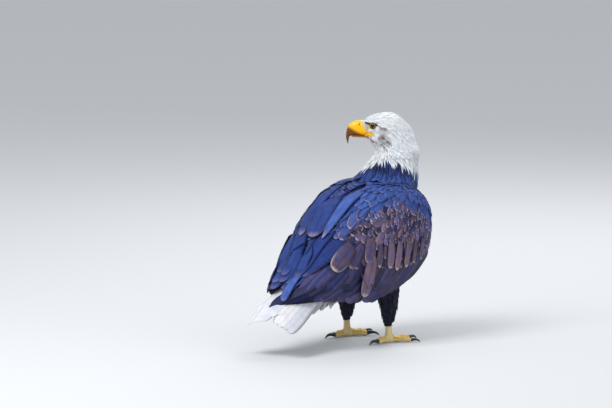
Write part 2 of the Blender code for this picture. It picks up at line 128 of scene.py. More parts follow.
def merged_copy(name, nodes):
    """One new mesh joined from copies of CAD nodes, with their loose triangles merged."""
    bpy.ops.object.select_all(action="DESELECT")
    for node in nodes:
        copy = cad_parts[node].copy()
        copy.data = copy.data.copy()
        copy.parent = None
        copy.hide_viewport = copy.hide_render = False
        for key in list(copy.keys()):
            del copy[key]
        bpy.context.scene.collection.objects.link(copy)
        copy.select_set(True)
        bpy.context.view_layer.objects.active = copy
    if len(nodes) > 1:
        bpy.ops.object.join()
    piece = bpy.context.object
    piece.name = piece.data.name = name
    piece.data.materials.clear()
    while piece.data.uv_layers:
        piece.data.uv_layers.remove(piece.data.uv_layers[0])
    bpy.ops.object.mode_set(mode="EDIT")
    bpy.ops.mesh.select_all(action="SELECT")
    bpy.ops.mesh.remove_doubles(threshold=0.00001)
    bpy.ops.object.mode_set(mode="OBJECT")
    return piece


def apply_modifier(piece, kind, **settings):
    bpy.context.view_layer.objects.active = piece
    modifier = piece.modifiers.new(kind.lower(), kind)
    for name, value in settings.items():
        setattr(modifier, name, value)
    bpy.ops.object.modifier_apply(modifier=modifier.name)


def vertex_array(piece, kind="co"):
    """The places of a piece's vertices, or their normals, as rows."""
    values = np.zeros(len(piece.data.vertices) * 3)
    piece.data.vertices.foreach_get(kind, values)
    return values.reshape(-1, 3)


def move_vertices(piece, points):
    piece.data.vertices.foreach_set("co", np.asarray(points, np.float32).ravel())
    piece.data.update()


def spread(piece, values, times):
    """Values on the vertices, averaged with their neighbours a number of times."""
    edges = np.zeros(len(piece.data.edges) * 2, np.int64)
    piece.data.edges.foreach_get("vertices", edges)
    first, second = edges.reshape(-1, 2).T
    count = np.bincount(first, minlength=len(values)) + np.bincount(second, minlength=len(values))
    flat = np.asarray(values, float).reshape(len(values), -1)
    for _ in range(times):
        total = flat.copy()
        np.add.at(total, first, flat[second])
        np.add.at(total, second, flat[first])
        flat = total / (count + 1)[:, None]
    return flat.reshape(np.shape(values))


def keep_largest_shell(piece):
    """Removes the small shells that a remesh leaves inside a form."""
    bm = bmesh.new()
    bm.from_mesh(piece.data)
    bm.verts.ensure_lookup_table()
    seen, shells = set(), []
    for start in bm.verts:
        if start.index in seen:
            continue
        shell, front = [], [start]
        seen.add(start.index)
        while front:
            vertex = front.pop()
            shell.append(vertex)
            for edge in vertex.link_edges:
                other = edge.other_vert(vertex)
                if other.index not in seen:
                    seen.add(other.index)
                    front.append(other)
        shells.append(shell)
    shells.sort(key=len)
    bmesh.ops.delete(bm, geom=[v for shell in shells[:-1] for v in shell], context="VERTS")
    bm.to_mesh(piece.data)
    bm.free()


def coat_depth(points):
    """How far the skin lies below the feathers' outline."""
    ahead, _, height = head_coordinates(points)
    depth = np.full(len(points), BODY_COAT)
    depth += (NECK_COAT - BODY_COAT) * smooth_step(height, 0.40, 0.46)
    depth += (HEAD_COAT - NECK_COAT) * smooth_step(height, 0.500, 0.545)
    depth += (FOREHEAD_COAT - HEAD_COAT) * smooth_step(ahead, 0.058, 0.068) * smooth_step(height, 0.53, 0.545)
    depth += (THIGH_COAT - BODY_COAT) * (1 - smooth_step(height, 0.16, 0.22))
    return depth * smooth_step(height, ankle - 0.004, ankle + 0.030)


def read_form(form, facing):
    """A form's search tree and its faces' corners, middles and outward ways, kept from here on."""
    corners = np.zeros(len(form.data.loops), np.int64)
    form.data.loops.foreach_get("vertex_index", corners)
    faces = corners.reshape(-1, 4)
    points = vertex_array(form)
    return {
        "tree": BVHTree.FromObject(form, bpy.context.evaluated_depsgraph_get()), "points": points,
        "faces": faces, "centres": points[faces].mean(axis=1), "normals": unit(facing[faces].mean(axis=1)),
    }


# The solids all but touch. Pushed out by half a millimetre and remeshed, they are one closed form.
skin = merged_copy("skin", FLESH + ["eye_left", "eye_right", "cere", "bill_lower"])
apply_modifier(skin, "DISPLACE", strength=0.0005, mid_level=0)
apply_modifier(skin, "REMESH", mode="VOXEL", voxel_size=VOXEL, use_smooth_shade=True)
keep_largest_shell(skin)
outline = vertex_array(skin)
outward = unit(spread(skin, vertex_array(skin, "normal"), 3))
form_ground = read_form(skin, spread(skin, outward, 6))
own_tree, form_centres = form_ground["tree"], form_ground["centres"]
MOST_INSET = 0.33  # of the room there is, where a part is thin
room = np.array([
    own_tree.ray_cast(Vector(p - n * 0.0002), Vector(-n), 0.05)[3] or 0.05
    for p, n in zip(outline, outward)
])
inset = spread(skin, np.minimum(coat_depth(outline), MOST_INSET * room), 4)
move_vertices(skin, outline - outward * inset[:, None])
move_vertices(skin, spread(skin, vertex_array(skin), 3))

# The face and the feet take a finer mesh, for their folds.
FACE_LOW, FACE_HIGH = 0.538, 0.598  # heights
select_only(skin)
for fine_face_above, fine_foot_below in ((0.022, ankle), (0.026, 0)):
    middles = np.zeros(len(skin.data.polygons) * 3)
    skin.data.polygons.foreach_get("center", middles)
    ahead, _, height = head_coordinates(middles.reshape(-1, 3))
    face = (ahead > fine_face_above) & (height > FACE_LOW) & (height < FACE_HIGH)
    feet = height < fine_foot_below
    bpy.ops.object.mode_set(mode="EDIT")
    bpy.ops.mesh.select_mode(type="FACE")
    bpy.ops.mesh.select_all(action="DESELECT")
    bpy.ops.object.mode_set(mode="OBJECT")
    skin.data.polygons.foreach_set("select", face | feet)
    bpy.ops.object.mode_set(mode="EDIT")
    bpy.ops.mesh.subdivide(number_cuts=1)
    bpy.ops.object.mode_set(mode="OBJECT")
finer = vertex_array(skin)
feet_and_face = smooth_step(-finer[:, 2], -ankle, -ankle + 0.01) + smooth_step(finer[:, 2], 0.535, 0.545)
move_vertices(skin, finer + (spread(skin, finer, 3) - finer) * np.clip(feet_and_face, 0, 1)[:, None])

# The sculpt of the face: lids that hold the eye, a brow that overhangs it, the gape's fleshy edge.
LID_OPENING, LID_THICK, LID_REACH = 0.0073, 0.0009, 0.0135
LID_FLAT, LID_FADE = 0.0022, 0.0058  # past its rim: where a lid starts to fade, and where it has
LID_ROOM, EYE_ROOM = 0.0003, 0.0030  # between the eye and its lids, and the skin behind it
GAZE_AHEAD, GAZE_OUT, GAZE_UP = 0.26, 0.965, 0.03  # the way each eye looks
BROW_OVERHANG, LORE_HOLLOW, LIP_FULL, CREASE_DEEP = 0.0042, 0.0016, 0.0022, 0.0014
BROW_ABOVE, BROW_BELOW, LIP_WIDE, CREASE_WIDE = 0.0045, 0.0011, 0.0026, 0.0012  # how far they spread
MIDLINE_FADE = 0.010  # the sculpt fades out this near the face's midline
BROW = ((0.0640, 0.5868), (0.0510, 0.5868), (0.0330, 0.5858))  # ahead and height, lore to temple
LIPS = ((0.0600, 0.5502), (0.0360, 0.5512))
MOUTH_CREASE = ((0.0600, 0.5455), (0.0380, 0.5345), (0.0100, 0.5225))
BROW_SHADE = ((0.0630, 0.5845), (0.0490, 0.5812), (0.0400, 0.5838), (0.0300, 0.5790))
GAPE = (0.0520, 0.5540), (0.0150, 0.0074)  # an oval's middle and half sizes, ahead and up
LORE = (0.0590, 0.5760), (0.0110, 0.0120)


def distance_to_line(ahead, height, line):
    """Distance from each point to a line of joined stretches, and how far along it that is, 0 to 1."""
    best = np.full(len(ahead), 1.0)
    along = np.zeros(len(ahead))
    for i, (start, end) in enumerate(zip(line, line[1:])):
        run = np.subtract(end, start)
        share = ((ahead - start[0]) * run[0] + (height - start[1]) * run[1]) / (run @ run)
        share = np.clip(share, 0, 1)
        gap = np.hypot(ahead - start[0] - share * run[0], height - start[1] - share * run[1])
        nearer = gap < best
        best = np.where(nearer, gap, best)
        along = np.where(nearer, (i + share) / (len(line) - 1), along)
    return best, along


def oval(ahead, height, middle, half):
    """How far out in an oval each point lies: 1 is its rim."""
    return np.hypot((ahead - middle[0]) / half[0], (height - middle[1]) / half[1])


points = vertex_array(skin)
ahead, left, height = head_coordinates(points)
flank = np.clip(np.abs(left) / MIDLINE_FADE, 0, 1) * np.sign(left)
in_face = (height > 0.52) & (ahead > 0)
brow_gap, brow_along = distance_to_line(ahead, height, BROW)
over_brow = height - np.interp(ahead, *zip(*BROW[::-1]))
ledge = np.exp(-((brow_gap / np.where(over_brow > 0, BROW_ABOVE, BROW_BELOW)) ** 2))
ledge *= BROW_OVERHANG * np.sin(np.pi * np.clip(0.12 + 0.80 * brow_along, 0, 1)) ** 0.6
hollow = LORE_HOLLOW * np.exp(-(((ahead - 0.056) / 0.007) ** 2 + ((height - 0.575) / 0.008) ** 2))
lip_gap, lip_along = distance_to_line(ahead, height, LIPS)
lip = LIP_FULL * np.exp(-((lip_gap / LIP_WIDE) ** 2)) * (1 - 0.7 * lip_along)
crease_gap, crease_along = distance_to_line(ahead, height, MOUTH_CREASE)
crease = CREASE_DEEP * np.exp(-((crease_gap / CREASE_WIDE) ** 2)) * (1 - 0.8 * crease_along)
left = left + np.where(in_face, flank * (ledge - hollow + lip - crease), 0)
points = head_place(ahead, left, height)

gazes = {}
for side, sign in (("left", 1), ("right", -1)):
    gaze = head_forward * GAZE_AHEAD + head_left * sign * GAZE_OUT + Vector((0, 0, GAZE_UP))
    gaze = np.array(gaze.normalized())
    gazes[side] = gaze
    from_eye = points - np.array(eye_centres[side])
    out = from_eye @ gaze
    radial = from_eye - np.outer(out, gaze)
    reach = np.linalg.norm(radial, axis=1)
    rise = radial[:, 2] / np.maximum(reach, 1e-6)
    opening = LID_OPENING * (1 - 0.10 * rise**2)
    ball = np.sqrt(np.maximum(eye_radius**2 - reach**2, 0))
    roll = LID_THICK * np.sqrt(np.clip(1 - ((reach - opening - LID_THICK) / LID_THICK) ** 2, 0, 1))
    lid = ball + LID_ROOM + np.maximum(roll, LID_THICK * 0.45)
    blend = 1 - smooth_step(reach, opening + LID_FLAT, opening + LID_FADE)
    held = np.maximum(out, lid) * blend + out * (1 - blend)
    sunk = ball - EYE_ROOM
    new_out = np.where(reach < opening, sunk, held)
    near = (out > 0.001) & (reach < LID_REACH)
    points = np.where(near[:, None], points + gaze * (new_out - out)[:, None], points)
move_vertices(skin, points)

# Where the skin is bare and where the plumage over it is white: the same rules colour the feathers.
WHITE_NECK_LOW, WHITE_NECK_RISE = 0.437, 0.048


def white_edge(points):
    """Height at which the white of the neck gives way to dark, lowest at throat and nape."""
    ahead, left, _ = head_coordinates(points)
    bearing = np.arctan2(np.abs(left), ahead)
    sine = np.sin(bearing)
    return WHITE_NECK_LOW + WHITE_NECK_RISE * np.where(bearing < math.pi / 2, sine, sine**1.9)


TAIL_COVERTS_TOP = 0.250  # height of the tail coverts' back, where they start
tail_coverts_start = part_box("tail_coverts")[0].y


def is_white(points):
    """1 where the plumage is white: head, neck down to its edge, and the tail's coverts."""
    points = np.asarray(points, float)
    neck = points[:, 2] > white_edge(points)
    past = points[:, 1] - tail_coverts_start
    tail = (past > 0) & (points[:, 2] < TAIL_COVERTS_TOP - past)
    tail = tail & (np.abs(points[:, 0]) < 0.070 - 0.35 * past)
    return (neck | tail).astype(float)


def keep_attribute(piece, name, values):
    attribute = piece.data.attributes.new(name, "FLOAT", "POINT")
    attribute.data.foreach_set("value", np.asarray(values, np.float32))


def from_eye_axis(points, least):
    """Distance from the nearer eye's axis, and 1 more for what lies less than this far out along it."""
    return np.minimum(*[
        np.linalg.norm(np.cross(points - np.array(eye_centres[side]), gaze), axis=1)
        + ((points - np.array(eye_centres[side])) @ gaze < least)
        for side, gaze in gazes.items()
    ])


points = vertex_array(skin)
ahead, _, height = head_coordinates(points)
eye_reach = from_eye_axis(points, 0.004)
shade_gap, _ = distance_to_line(ahead, height, BROW_SHADE)
for name, mask in {
    "lore": 1 - smooth_step(oval(ahead, height, *LORE), 0.8, 1.15),
    # painted shadow under the brow's ledge, along the brow-shade line
    "painted_brow_shadow": 1 - smooth_step(shade_gap, 0.0018, 0.0034),
    # painted shadow on the skin under and between the bill's halves, so a gap there reads as the dark inside
    # of the mouth
    "painted_mouth_shadow": smooth_step(ahead, 0.0600, 0.0630) * smooth_step(-height, -0.5640, -0.5600),
    "gape": 1 - smooth_step(oval(ahead, height, *GAPE), 0.85, 1.0),
    "lid": 1 - smooth_step(eye_reach, 0.0088, 0.0108),
    "lid_rim": 1 - smooth_step(eye_reach, 0.0078, 0.0086),
}.items():
    keep_attribute(skin, name, mask * (height > 0.535) * (ahead > 0.012))
keep_attribute(skin, "white", is_white(points))
keep_attribute(skin, "bare_foot", 1 - smooth_step(height, ankle - 0.013, ankle - 0.006))

# Under the plumage the skin needs no more than a coarse mesh. The bare face and feet keep theirs.
SKIN_KEPT = 0.42  # of its triangles
bare = (height < ankle + 0.010) | ((height > 0.532) & (ahead > 0.008))
coated = skin.vertex_groups.new(name="coated")
coated.add(np.nonzero(~bare)[0].tolist(), 1.0, "REPLACE")
apply_modifier(skin, "DECIMATE", ratio=SKIN_KEPT, vertex_group="coated")
skin.vertex_groups.clear()


def linear(hex_colour):
    """An sRGB hex colour as linear light, with alpha."""
    parts = [int(hex_colour[i:i + 2], 16) / 255 for i in (1, 3, 5)]
    return (*[p / 12.92 if p <= 0.04045 else ((p + 0.055) / 1.055) ** 2.4 for p in parts], 1)


def add_node(material, kind, output, inputs=None, **settings):
    """Adds one node, fills or links its inputs, sets it up, and gives one of its outputs."""
    made = material.node_tree.nodes.new("ShaderNode" + kind)
    for name, value in settings.items():
        setattr(made, name, value)
    for key, value in (inputs or {}).items():
        if isinstance(value, bpy.types.NodeSocket):
            material.node_tree.links.new(value, made.inputs[key])
        else:
            made.inputs[key].default_value = value
    return made.outputs[output]


def new_material(name, **sockets):
    material = bpy.data.materials.new(name)
    material.use_nodes = True
    shader = material.node_tree.nodes["Principled BSDF"]
    for socket, value in sockets.items():
        shader.inputs[socket.replace("_", " ")].default_value = value
    return material, shader


def link_surface(shader, colour, relief=None):
    """Links a finish's colour, and its relief if it has one."""
    shader.id_data.links.new(colour, shader.inputs["Base Color"])
    if relief:
        shader.id_data.links.new(relief, shader.inputs["Normal"])


# Living skin, soft and slightly waxy: blue-black or white as the down over it, its blue a painted reflection
# of blue sky as on the plumage, and pale yellow scaled hide on the feet. The feet's small scales are about
# 1.6 mm across, the face's pores under 1 mm.
skin_finish, shader = new_material("bird_skin", Roughness=0.52, Subsurface_Weight=0.06)
place = add_node(skin_finish, "TexCoord", "Object")
mottle = add_node(skin_finish, "TexNoise", "Fac", {"Vector": place, "Scale": 260, "Detail": 4})
colour = add_node(skin_finish, "ValToRGB", "Color", {"Fac": mottle})
for stop, hex_colour in zip(colour.node.color_ramp.elements, ("#141b3c", "#1e2850")):
    stop.color = linear(hex_colour)
# The brow and mouth tints below are painted shadow; the other tints are the skin's own colours.
for name, tint in (
    ("white", "#d3d6dd"), ("lore", "#c3b79c"), ("painted_mouth_shadow", "#7c4a08"), ("gape", "#f0b416"),
    ("lid", "#97831f"), ("painted_brow_shadow", "#33262a"), ("lid_rim", "#5c4c14"), ("bare_foot", "#ecd79c"),
):
    mask = add_node(skin_finish, "Attribute", "Fac", attribute_name=name)
    colour = add_node(skin_finish, "Mix", 2, {0: mask, 6: colour, 7: linear(tint)}, data_type="RGBA")
colour = add_node(
    skin_finish, "Mix", 2, {0: 0.35, 6: colour, 7: mottle}, data_type="RGBA", blend_type="MULTIPLY"
)
scales = add_node(
    skin_finish, "TexVoronoi", "Distance", {"Vector": place, "Scale": 620}, feature="DISTANCE_TO_EDGE"
)
grooves = add_node(skin_finish, "Math", 0, {0: scales, 1: mask}, operation="MULTIPLY")
relief = add_node(skin_finish, "Bump", "Normal", {"Strength": 0.6, "Distance": 0.0015, "Height": grooves})
pores = {"Strength": 0.25, "Distance": 0.0004, "Height": mottle, "Normal": relief}
link_surface(shader, colour, add_node(skin_finish, "Bump", "Normal", pores))
skin.data.materials.append(skin_finish)
skin.data.shade_smooth()
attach(skin, "root")
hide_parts(*FLESH)

# ---- Eyes --------------------------------------------------------------------------------------
# Wet globes held by the lids, each with a low clear swell over a pale straw iris and a round pupil.
IRIS = 0.0070  # radius of the coloured part; the pupil's is 0.0052
CORNEA_SWELL = 0.0007

eye_finish, shader = new_material(
    "wet_eye", Roughness=0.15, Specular_IOR_Level=0.15, Coat_Weight=0.15, Coat_Roughness=0.03
)
reach = add_node(eye_finish, "Attribute", "Fac", attribute_name="reach")  # from the pupil's middle, in cm
colour = add_node(eye_finish, "ValToRGB", "Color", {"Fac": reach})
stops = colour.node.color_ramp.elements
for position, hex_colour in (
    (0.517, "#050506"), (0.525, "#ac962a"), (0.600, "#97811c"), (0.680, "#4a3c10"), (0.720, "#0c0a08")
):
    stops.new(position).color = linear(hex_colour)
stops[0].color, stops[-1].color = linear("#050506"), linear("#0c0a08")
link_surface(shader, colour)

for side, gaze in gazes.items():
    bpy.ops.object.select_all(action="DESELECT")
    bpy.ops.mesh.primitive_uv_sphere_add(segments=40, ring_count=30, radius=eye_radius - 0.0001)
    globe = bpy.context.object
    globe.name = globe.data.name = f"{side}_eye"
    turned = Vector(gaze).to_track_quat("Z", "Y").to_matrix().to_4x4()
    turned.translation = eye_centres[side]
    globe.data.transform(turned)
    points = vertex_array(globe)
    from_eye = points - np.array(eye_centres[side])
    out = from_eye @ gaze
    reach = np.linalg.norm(from_eye - np.outer(out, gaze), axis=1)
    swell = CORNEA_SWELL * (1 - smooth_step(reach, 0.002, IRIS)) * (out > 0)
    move_vertices(globe, points + np.outer(swell, gaze))
    keep_attribute(globe, "reach", np.where(out > 0, reach / 0.01, 1.0))
    globe.data.shade_smooth()
    globe.data.materials.append(eye_finish)
    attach(globe, "root")
    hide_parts(f"eye_{side}")

# ---- Bill --------------------------------------------------------------------------------------
# Keratin over bone: a deep hooked upper bill, a waxy cere that carries the nostrils, and a shallow
# lower bill. It is chrome yellow, with painted shade in brown along the cutting edge, at the hook's tip and
# over the lower bill.
NOSTRIL = (0.0775, 0.5795), (0.0016, 0.0030)  # middle and half sizes, ahead of the head's axis and up
NOSTRIL_DEEP = 0.0022
CUTTING_EDGE, CUTTING_EDGE_LIP = 0.5515, 0.0006  # height, and how far it stands out
SEAM_LAP = 0.0025  # cere and upper bill run into each other by this much
DOWN_EDGE = ((0.5480, 0.0400), (0.5560, 0.0520), (0.5600, 0.0560), (0.5700, 0.0645), (0.5830, 0.0715),
             (0.5950, 0.0735))  # height, and how far ahead the pale down on the cere reaches

bill_finish, shader = new_material(
    "bill_keratin", Roughness=0.40, Specular_IOR_Level=0.25, Coat_Weight=0.12, Coat_Roughness=0.15
)
place = add_node(bill_finish, "TexCoord", "Object")
grown = {"Vector": place, "Scale": (1, 1, 3), "Rotation": (0.2, 0, 0)}
place = add_node(bill_finish, "Mapping", "Vector", grown)
grown = {"Vector": place, "Scale": 120, "Detail": 5, "Roughness": 0.6}
growth = add_node(bill_finish, "TexNoise", "Fac", grown)
yellows = {0: growth, 6: linear("#fabf00"), 7: linear("#f0a400")}
colour = add_node(bill_finish, "Mix", 2, yellows, data_type="RGBA")
# The low mask is painted shade on the bill's lower parts, the nostril mask a painted shadow in each pit; the
# downy mask is the cere's pale down.
for name, tint in (("low", "#5c2a02"), ("downy", "#b9b1a4"), ("nostril_pit_shade", "#2a1606")):
    mask = add_node(bill_finish, "Attribute", "Fac", attribute_name=name)
    colour = add_node(bill_finish, "Mix", 2, {0: mask, 6: colour, 7: linear(tint)}, data_type="RGBA")
layers = add_node(bill_finish, "Bump", "Normal", {"Strength": 0.25, "Distance": 0.0004, "Height": growth})
link_surface(shader, colour, layers)

for node, levels in (("bill_upper", 3), ("cere", 3), ("bill_lower", 2)):
    horn = merged_copy(f"{node}_horn", [node])
    apply_modifier(horn, "SUBSURF", levels=levels, render_levels=levels)
    points = vertex_array(horn)
    low_corner, high_corner = points.min(axis=0), points.max(axis=0)
    full = np.array(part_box(node)[1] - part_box(node)[0])  # smoothing shrinks it: up to 3 % is given back
    middle = (low_corner + high_corner) / 2
    points = middle + (points - middle) * np.clip(full / (high_corner - low_corner), 1, 1.03)
    ahead, left, height = head_coordinates(points)
    nostril_pit_shade = np.zeros(len(points))
    if node == "bill_upper":
        ahead = ahead - SEAM_LAP * (1 - smooth_step(ahead, ahead.min(), ahead.min() + 0.006))
    if node == "cere":
        ahead = ahead + SEAM_LAP * smooth_step(ahead, ahead.max() - 0.006, ahead.max())
        slit = oval(ahead, height, *NOSTRIL)
        # The nostril is a sunk pit, painted dark as the shadow inside it.
        nostril_pit_shade = 1 - smooth_step(slit, 0.55, 1.15)
        rim = 0.0005 * np.exp(-((slit - 1.45) / 0.35) ** 2)
        left = left + np.sign(left) * (rim - NOSTRIL_DEEP * nostril_pit_shade)
    # Painted shade: all over the lower bill, and on the upper bill towards its cutting edge, its front and
    # its hook.
    low = np.full(len(points), 0.8)
    if node != "bill_lower":
        edge = np.exp(-(((height - CUTTING_EDGE) / 0.0016) ** 2)) * (ahead > 0.062) * (np.abs(left) > 0.004)
        left = left + np.sign(left) * CUTTING_EDGE_LIP * edge
        hook_painted_shade = 0.85 * smooth_step(-height, -0.5450, -0.5300)
        low = np.maximum(hook_painted_shade, 0.95 * smooth_step(0.566 - height + 0.6 * (ahead - 0.088), -0.003, 0.012))
    move_vertices(horn, head_place(ahead, left, height))
    down_edge = np.interp(height, *zip(*DOWN_EDGE))
    keep_attribute(horn, "low", low)
    keep_attribute(horn, "nostril_pit_shade", nostril_pit_shade)
    keep_attribute(horn, "downy", smooth_step(down_edge - ahead, -0.0008, 0.0012) * (node == "cere"))
    horn.data.shade_smooth()
    horn.data.materials.append(bill_finish)
    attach(horn, "root")
    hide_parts(node)

# ---- Feet and claws ----------------------------------------------------------------------------
# Bare yellow feet: a row of broad overlapping scutes runs down the front of each shank and along the
# top of every toe. The claws are black horn, smooth and round, thickest at the toe.
TOE_RUNS = {  # direction from straight ahead, towards the outer side, and length from the foot's middle
    "middle": (2, 0.070), "inner": (-38, 0.050), "outer": (42, 0.056), "hind": (176, 0.040),
}
TOE_TOP, TOE_START = 0.007, 0.014  # the toes' first scutes: height of their line, and how far out it starts
SHANK_SCUTES, SHANK_START = 6, 0.008  # how many, and how far below the ankle the first one starts
TOE_HALF_TURN, SHANK_HALF_TURN = 1.15, 1.2  # radians that a plate reaches round to each side
SCUTE_PITCH, SCUTE_LONG, SCUTE_BOW, SCUTE_THICK = 0.0046, 0.0064, 0.0016, 0.0009
PLATE_ACROSS, PLATE_ALONG = 9, 4  # points on a plate
foot_tree = BVHTree.FromObject(skin, bpy.context.evaluated_depsgraph_get())
# Horny yellow skin, worn and grubby in places, and black horn with a soft shine.
scute_finish, shader = new_material("foot_scutes", Roughness=0.42, IOR=1.5)
place = add_node(scute_finish, "TexCoord", "Object")
grime = add_node(scute_finish, "TexNoise", "Fac", {"Vector": place, "Scale": 420, "Detail": 4})
worn = {0: grime, 6: linear("#c08e2a"), 7: linear("#edc862")}
scuffs = add_node(scute_finish, "Bump", "Normal", {"Strength": 0.3, "Distance": 0.0004, "Height": grime})
link_surface(shader, add_node(scute_finish, "Mix", 2, worn, data_type="RGBA"), scuffs)
claw_finish, shader = new_material("claw_keratin", Roughness=0.28, IOR=1.54)
place = add_node(claw_finish, "TexCoord", "Object")
grain = add_node(claw_finish, "TexNoise", "Fac", {"Vector": place, "Scale": 300, "Detail": 3})
black = {0: grain, 6: linear("#0d0d12"), 7: linear("#2b2c33")}
link_surface(shader, add_node(claw_finish, "Mix", 2, black, data_type="RGBA"))


def foot_middle(side):
    """Where a foot's toes meet: under its shank, the upper part of the foot's node."""
    shank = [v.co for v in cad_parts[f"foot_{side}"].data.vertices if v.co.z > 0.7 * ankle]
    return sum(shank, Vector()) / len(shank)


def scute_plates(name, plan):
    """Curved plates wrapped over a toe or shank: each is cast onto the skin from around its line."""
    grid, faces = [], []
    step = PLATE_ALONG
    for start, cast, way, half_angle in plan:
        first = len(grid)
        under = PLATE_ACROSS * PLATE_ALONG
        lower = []
        for across in np.linspace(-1, 1, PLATE_ACROSS).tolist():
            ray = cast * math.cos(half_angle * across) + way.cross(cast) * math.sin(half_angle * across)
            for i in range(PLATE_ALONG):
                share = i / (PLATE_ALONG - 1)
                centre = start + way * (SCUTE_LONG * share + SCUTE_BOW * (1 - across**2) * share)
                hit = foot_tree.ray_cast(centre - ray * 0.030, ray, 0.030)[0] or (centre - ray * 0.008)
                raised = SCUTE_THICK * (0.15 + 0.85 * share) * (0.25 + 0.75 * (1 - abs(across) ** 4))
                grid.append(hit - ray * raised)
                lower.append(grid[-1] + ray * SCUTE_THICK * 1.3)
        grid += lower
        for j in range(PLATE_ACROSS - 1):
            for a in range(first + j * step, first + j * step + PLATE_ALONG - 1):
                faces.append((a, a + step, a + step + 1, a + 1))
                faces.append((under + a, under + a + 1, under + a + step + 1, under + a + step))
        corners = np.arange(first, first + under).reshape(PLATE_ACROSS, PLATE_ALONG)
        rim = [*corners[:, 0], *corners[-1, 1:], *corners[-2::-1, -1], *corners[0, -2:0:-1]]
        faces += [(b, a, a + under, b + under) for a, b in zip(rim, rim[1:] + rim[:1])]
    mesh = bpy.data.meshes.new(name)
    mesh.from_pydata([tuple(p) for p in grid], [], faces)
    plates = bpy.data.objects.new(name, mesh)
    bpy.context.scene.collection.objects.link(plates)
    select_only(plates)
    bpy.ops.object.mode_set(mode="EDIT")
    bpy.ops.mesh.select_all(action="SELECT")
    bpy.ops.mesh.normals_make_consistent(inside=False)
    bpy.ops.object.mode_set(mode="OBJECT")
    mesh.shade_smooth()
    return plates


for side, sign in (("left", 1), ("right", -1)):
    middle = foot_middle(side)
    plan = []
    for bearing, length in TOE_RUNS.values():
        turn = math.radians(bearing)
        way = Vector((sign * math.sin(turn), -math.cos(turn), 0))
        for k in range(int((length - 0.012) / SCUTE_PITCH)):
            start = Vector((middle.x, middle.y, TOE_TOP)) + way * (TOE_START + k * SCUTE_PITCH)
            plan.append((start, Vector((0, 0, -1)), way, TOE_HALF_TURN))
    for k in range(SHANK_SCUTES):
        start = Vector((middle.x, middle.y, ankle - SHANK_START - k * SCUTE_PITCH * 1.2))
        plan.append((start, Vector((0, 1, 0)), Vector((0, 0, -1)), SHANK_HALF_TURN))
    plates = scute_plates(f"foot_{side}_scutes", plan)
    plates.data.materials.append(scute_finish)
    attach(plates, "root")
    for toe in TOE_RUNS:
        node = f"claw_{side}_{toe}"
        claw = merged_copy(f"{side}_{toe}_claw", [node])
        apply_modifier(claw, "SUBSURF", levels=2, render_levels=2)
        apply_modifier(claw, "DISPLACE", strength=0.0006, mid_level=0)
        points = vertex_array(claw)
        points[:, 2] = np.maximum(points[:, 2], 0.0002)
        move_vertices(claw, points)
        claw.data.shade_smooth()
        claw.data.materials.append(claw_finish)
        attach(claw, "root")
        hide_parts(node)

# ---- Head plumage ------------------------------------------------------------------------------
# White feathers, 7 mm long round the face and 20 mm on the nape, closely shingled.
# Each is a thin closed vane: it leaves the skin at its root and lies back over the next ones.
PATCH, PATCH_CELL = 0.0030, 0.0032  # of a feather on the bake map, and the cell it lies in
solid_points, solid_faces, owner_of_face = [], [], []
for node in FLESH:
    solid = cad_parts[node].data
    first = len(solid_points)
    solid_points += [v.co.copy() for v in solid.vertices]
    solid_faces += [[first + i for i in polygon.vertices] for polygon in solid.polygons]
    owner_of_face += [node] * len(solid.polygons)
solid_tree = BVHTree.FromPolygons(solid_points, solid_faces)
form_owners = np.array([owner_of_face[solid_tree.find_nearest(Vector(p))[2]] for p in form_centres])
open_faces = np.array([
    own_tree.ray_cast(Vector(c + n * 0.002), Vector(n), 0.025)[0] is None
    for c, n in zip(form_centres, form_ground["normals"])
])
a, b, _, d = np.moveaxis(outline[form_ground["faces"]], 1, 0)
form_ground["areas"] = np.linalg.norm(np.cross(b - a, d - a), axis=1)


def scatter(chosen, spacing, ground=form_ground):
    """Points on the chosen faces of a form, no two nearer than the spacing there."""
    faces = np.nonzero(chosen)[0]
    near = spacing(ground["centres"][faces])
    tries = ground["areas"][faces] / near**2 * 5
    count = np.floor(tries + random.random(len(faces))).astype(int)
    faces = np.repeat(faces, count)
    u, v = random.random((2, len(faces), 1))
    a, b, c, d = np.moveaxis(ground["points"][ground["faces"][faces]], 1, 0)
    candidates = (a * (1 - u) + b * u) * (1 - v) + (d * (1 - u) + c * u) * v
    order = random.permutation(len(candidates))
    candidates = candidates[order]
    reaches = spacing(candidates)
    tree = KDTree(len(candidates))
    for i, p in enumerate(candidates):
        tree.insert(p, i)
    tree.balance()
    blocked = np.zeros(len(candidates), bool)
    kept = []
    for i, p in enumerate(candidates):
        if not blocked[i]:
            kept.append(i)
            for _, j, _ in tree.find_range(p, reaches[i]):
                blocked[j] = True
    return candidates[kept]


CARRY_ON = 0.55  # how much of its own way a feather keeps from one ring to the next


def follow(roots, lie, lengths, shares, ground):
    """Places and outward normals at shares of each feather's length, along the coat."""
    places, normals = [], []
    place, direction = roots, None
    for k, share in enumerate(shares):
        found = [ground["tree"].find_nearest(Vector(p)) for p in place]
        place = np.array([f[0] for f in found])
        normal = ground["normals"][[f[2] for f in found]]
        wanted = unit(lie(place))
        if direction is not None:
            wanted = (1 - CARRY_ON) * wanted + CARRY_ON * direction
        direction = unit(wanted - normal * np.sum(wanted * normal, axis=1, keepdims=True))
        places.append(place)
        normals.append(normal)
        if k + 1 < len(shares):
            place = place + direction * (lengths * (shares[k + 1] - share))[:, None]
    return np.stack(places, axis=1), np.stack(normals, axis=1)


def outline_of_vane(shares, base, widest, tip, bluntness):
    """Half-widths along a vane as shares of its widest: tip 2 is round, nearer 1 is pointed."""
    rise = base + (1 - base) * np.sin(np.pi / 2 * np.clip(shares / widest, 0, 1))
    past = np.clip((shares - widest) / (1 - widest), 0, 1)
    return rise * np.maximum((1 - past**tip) ** (1 / tip if tip > 1.5 else 1), bluntness)


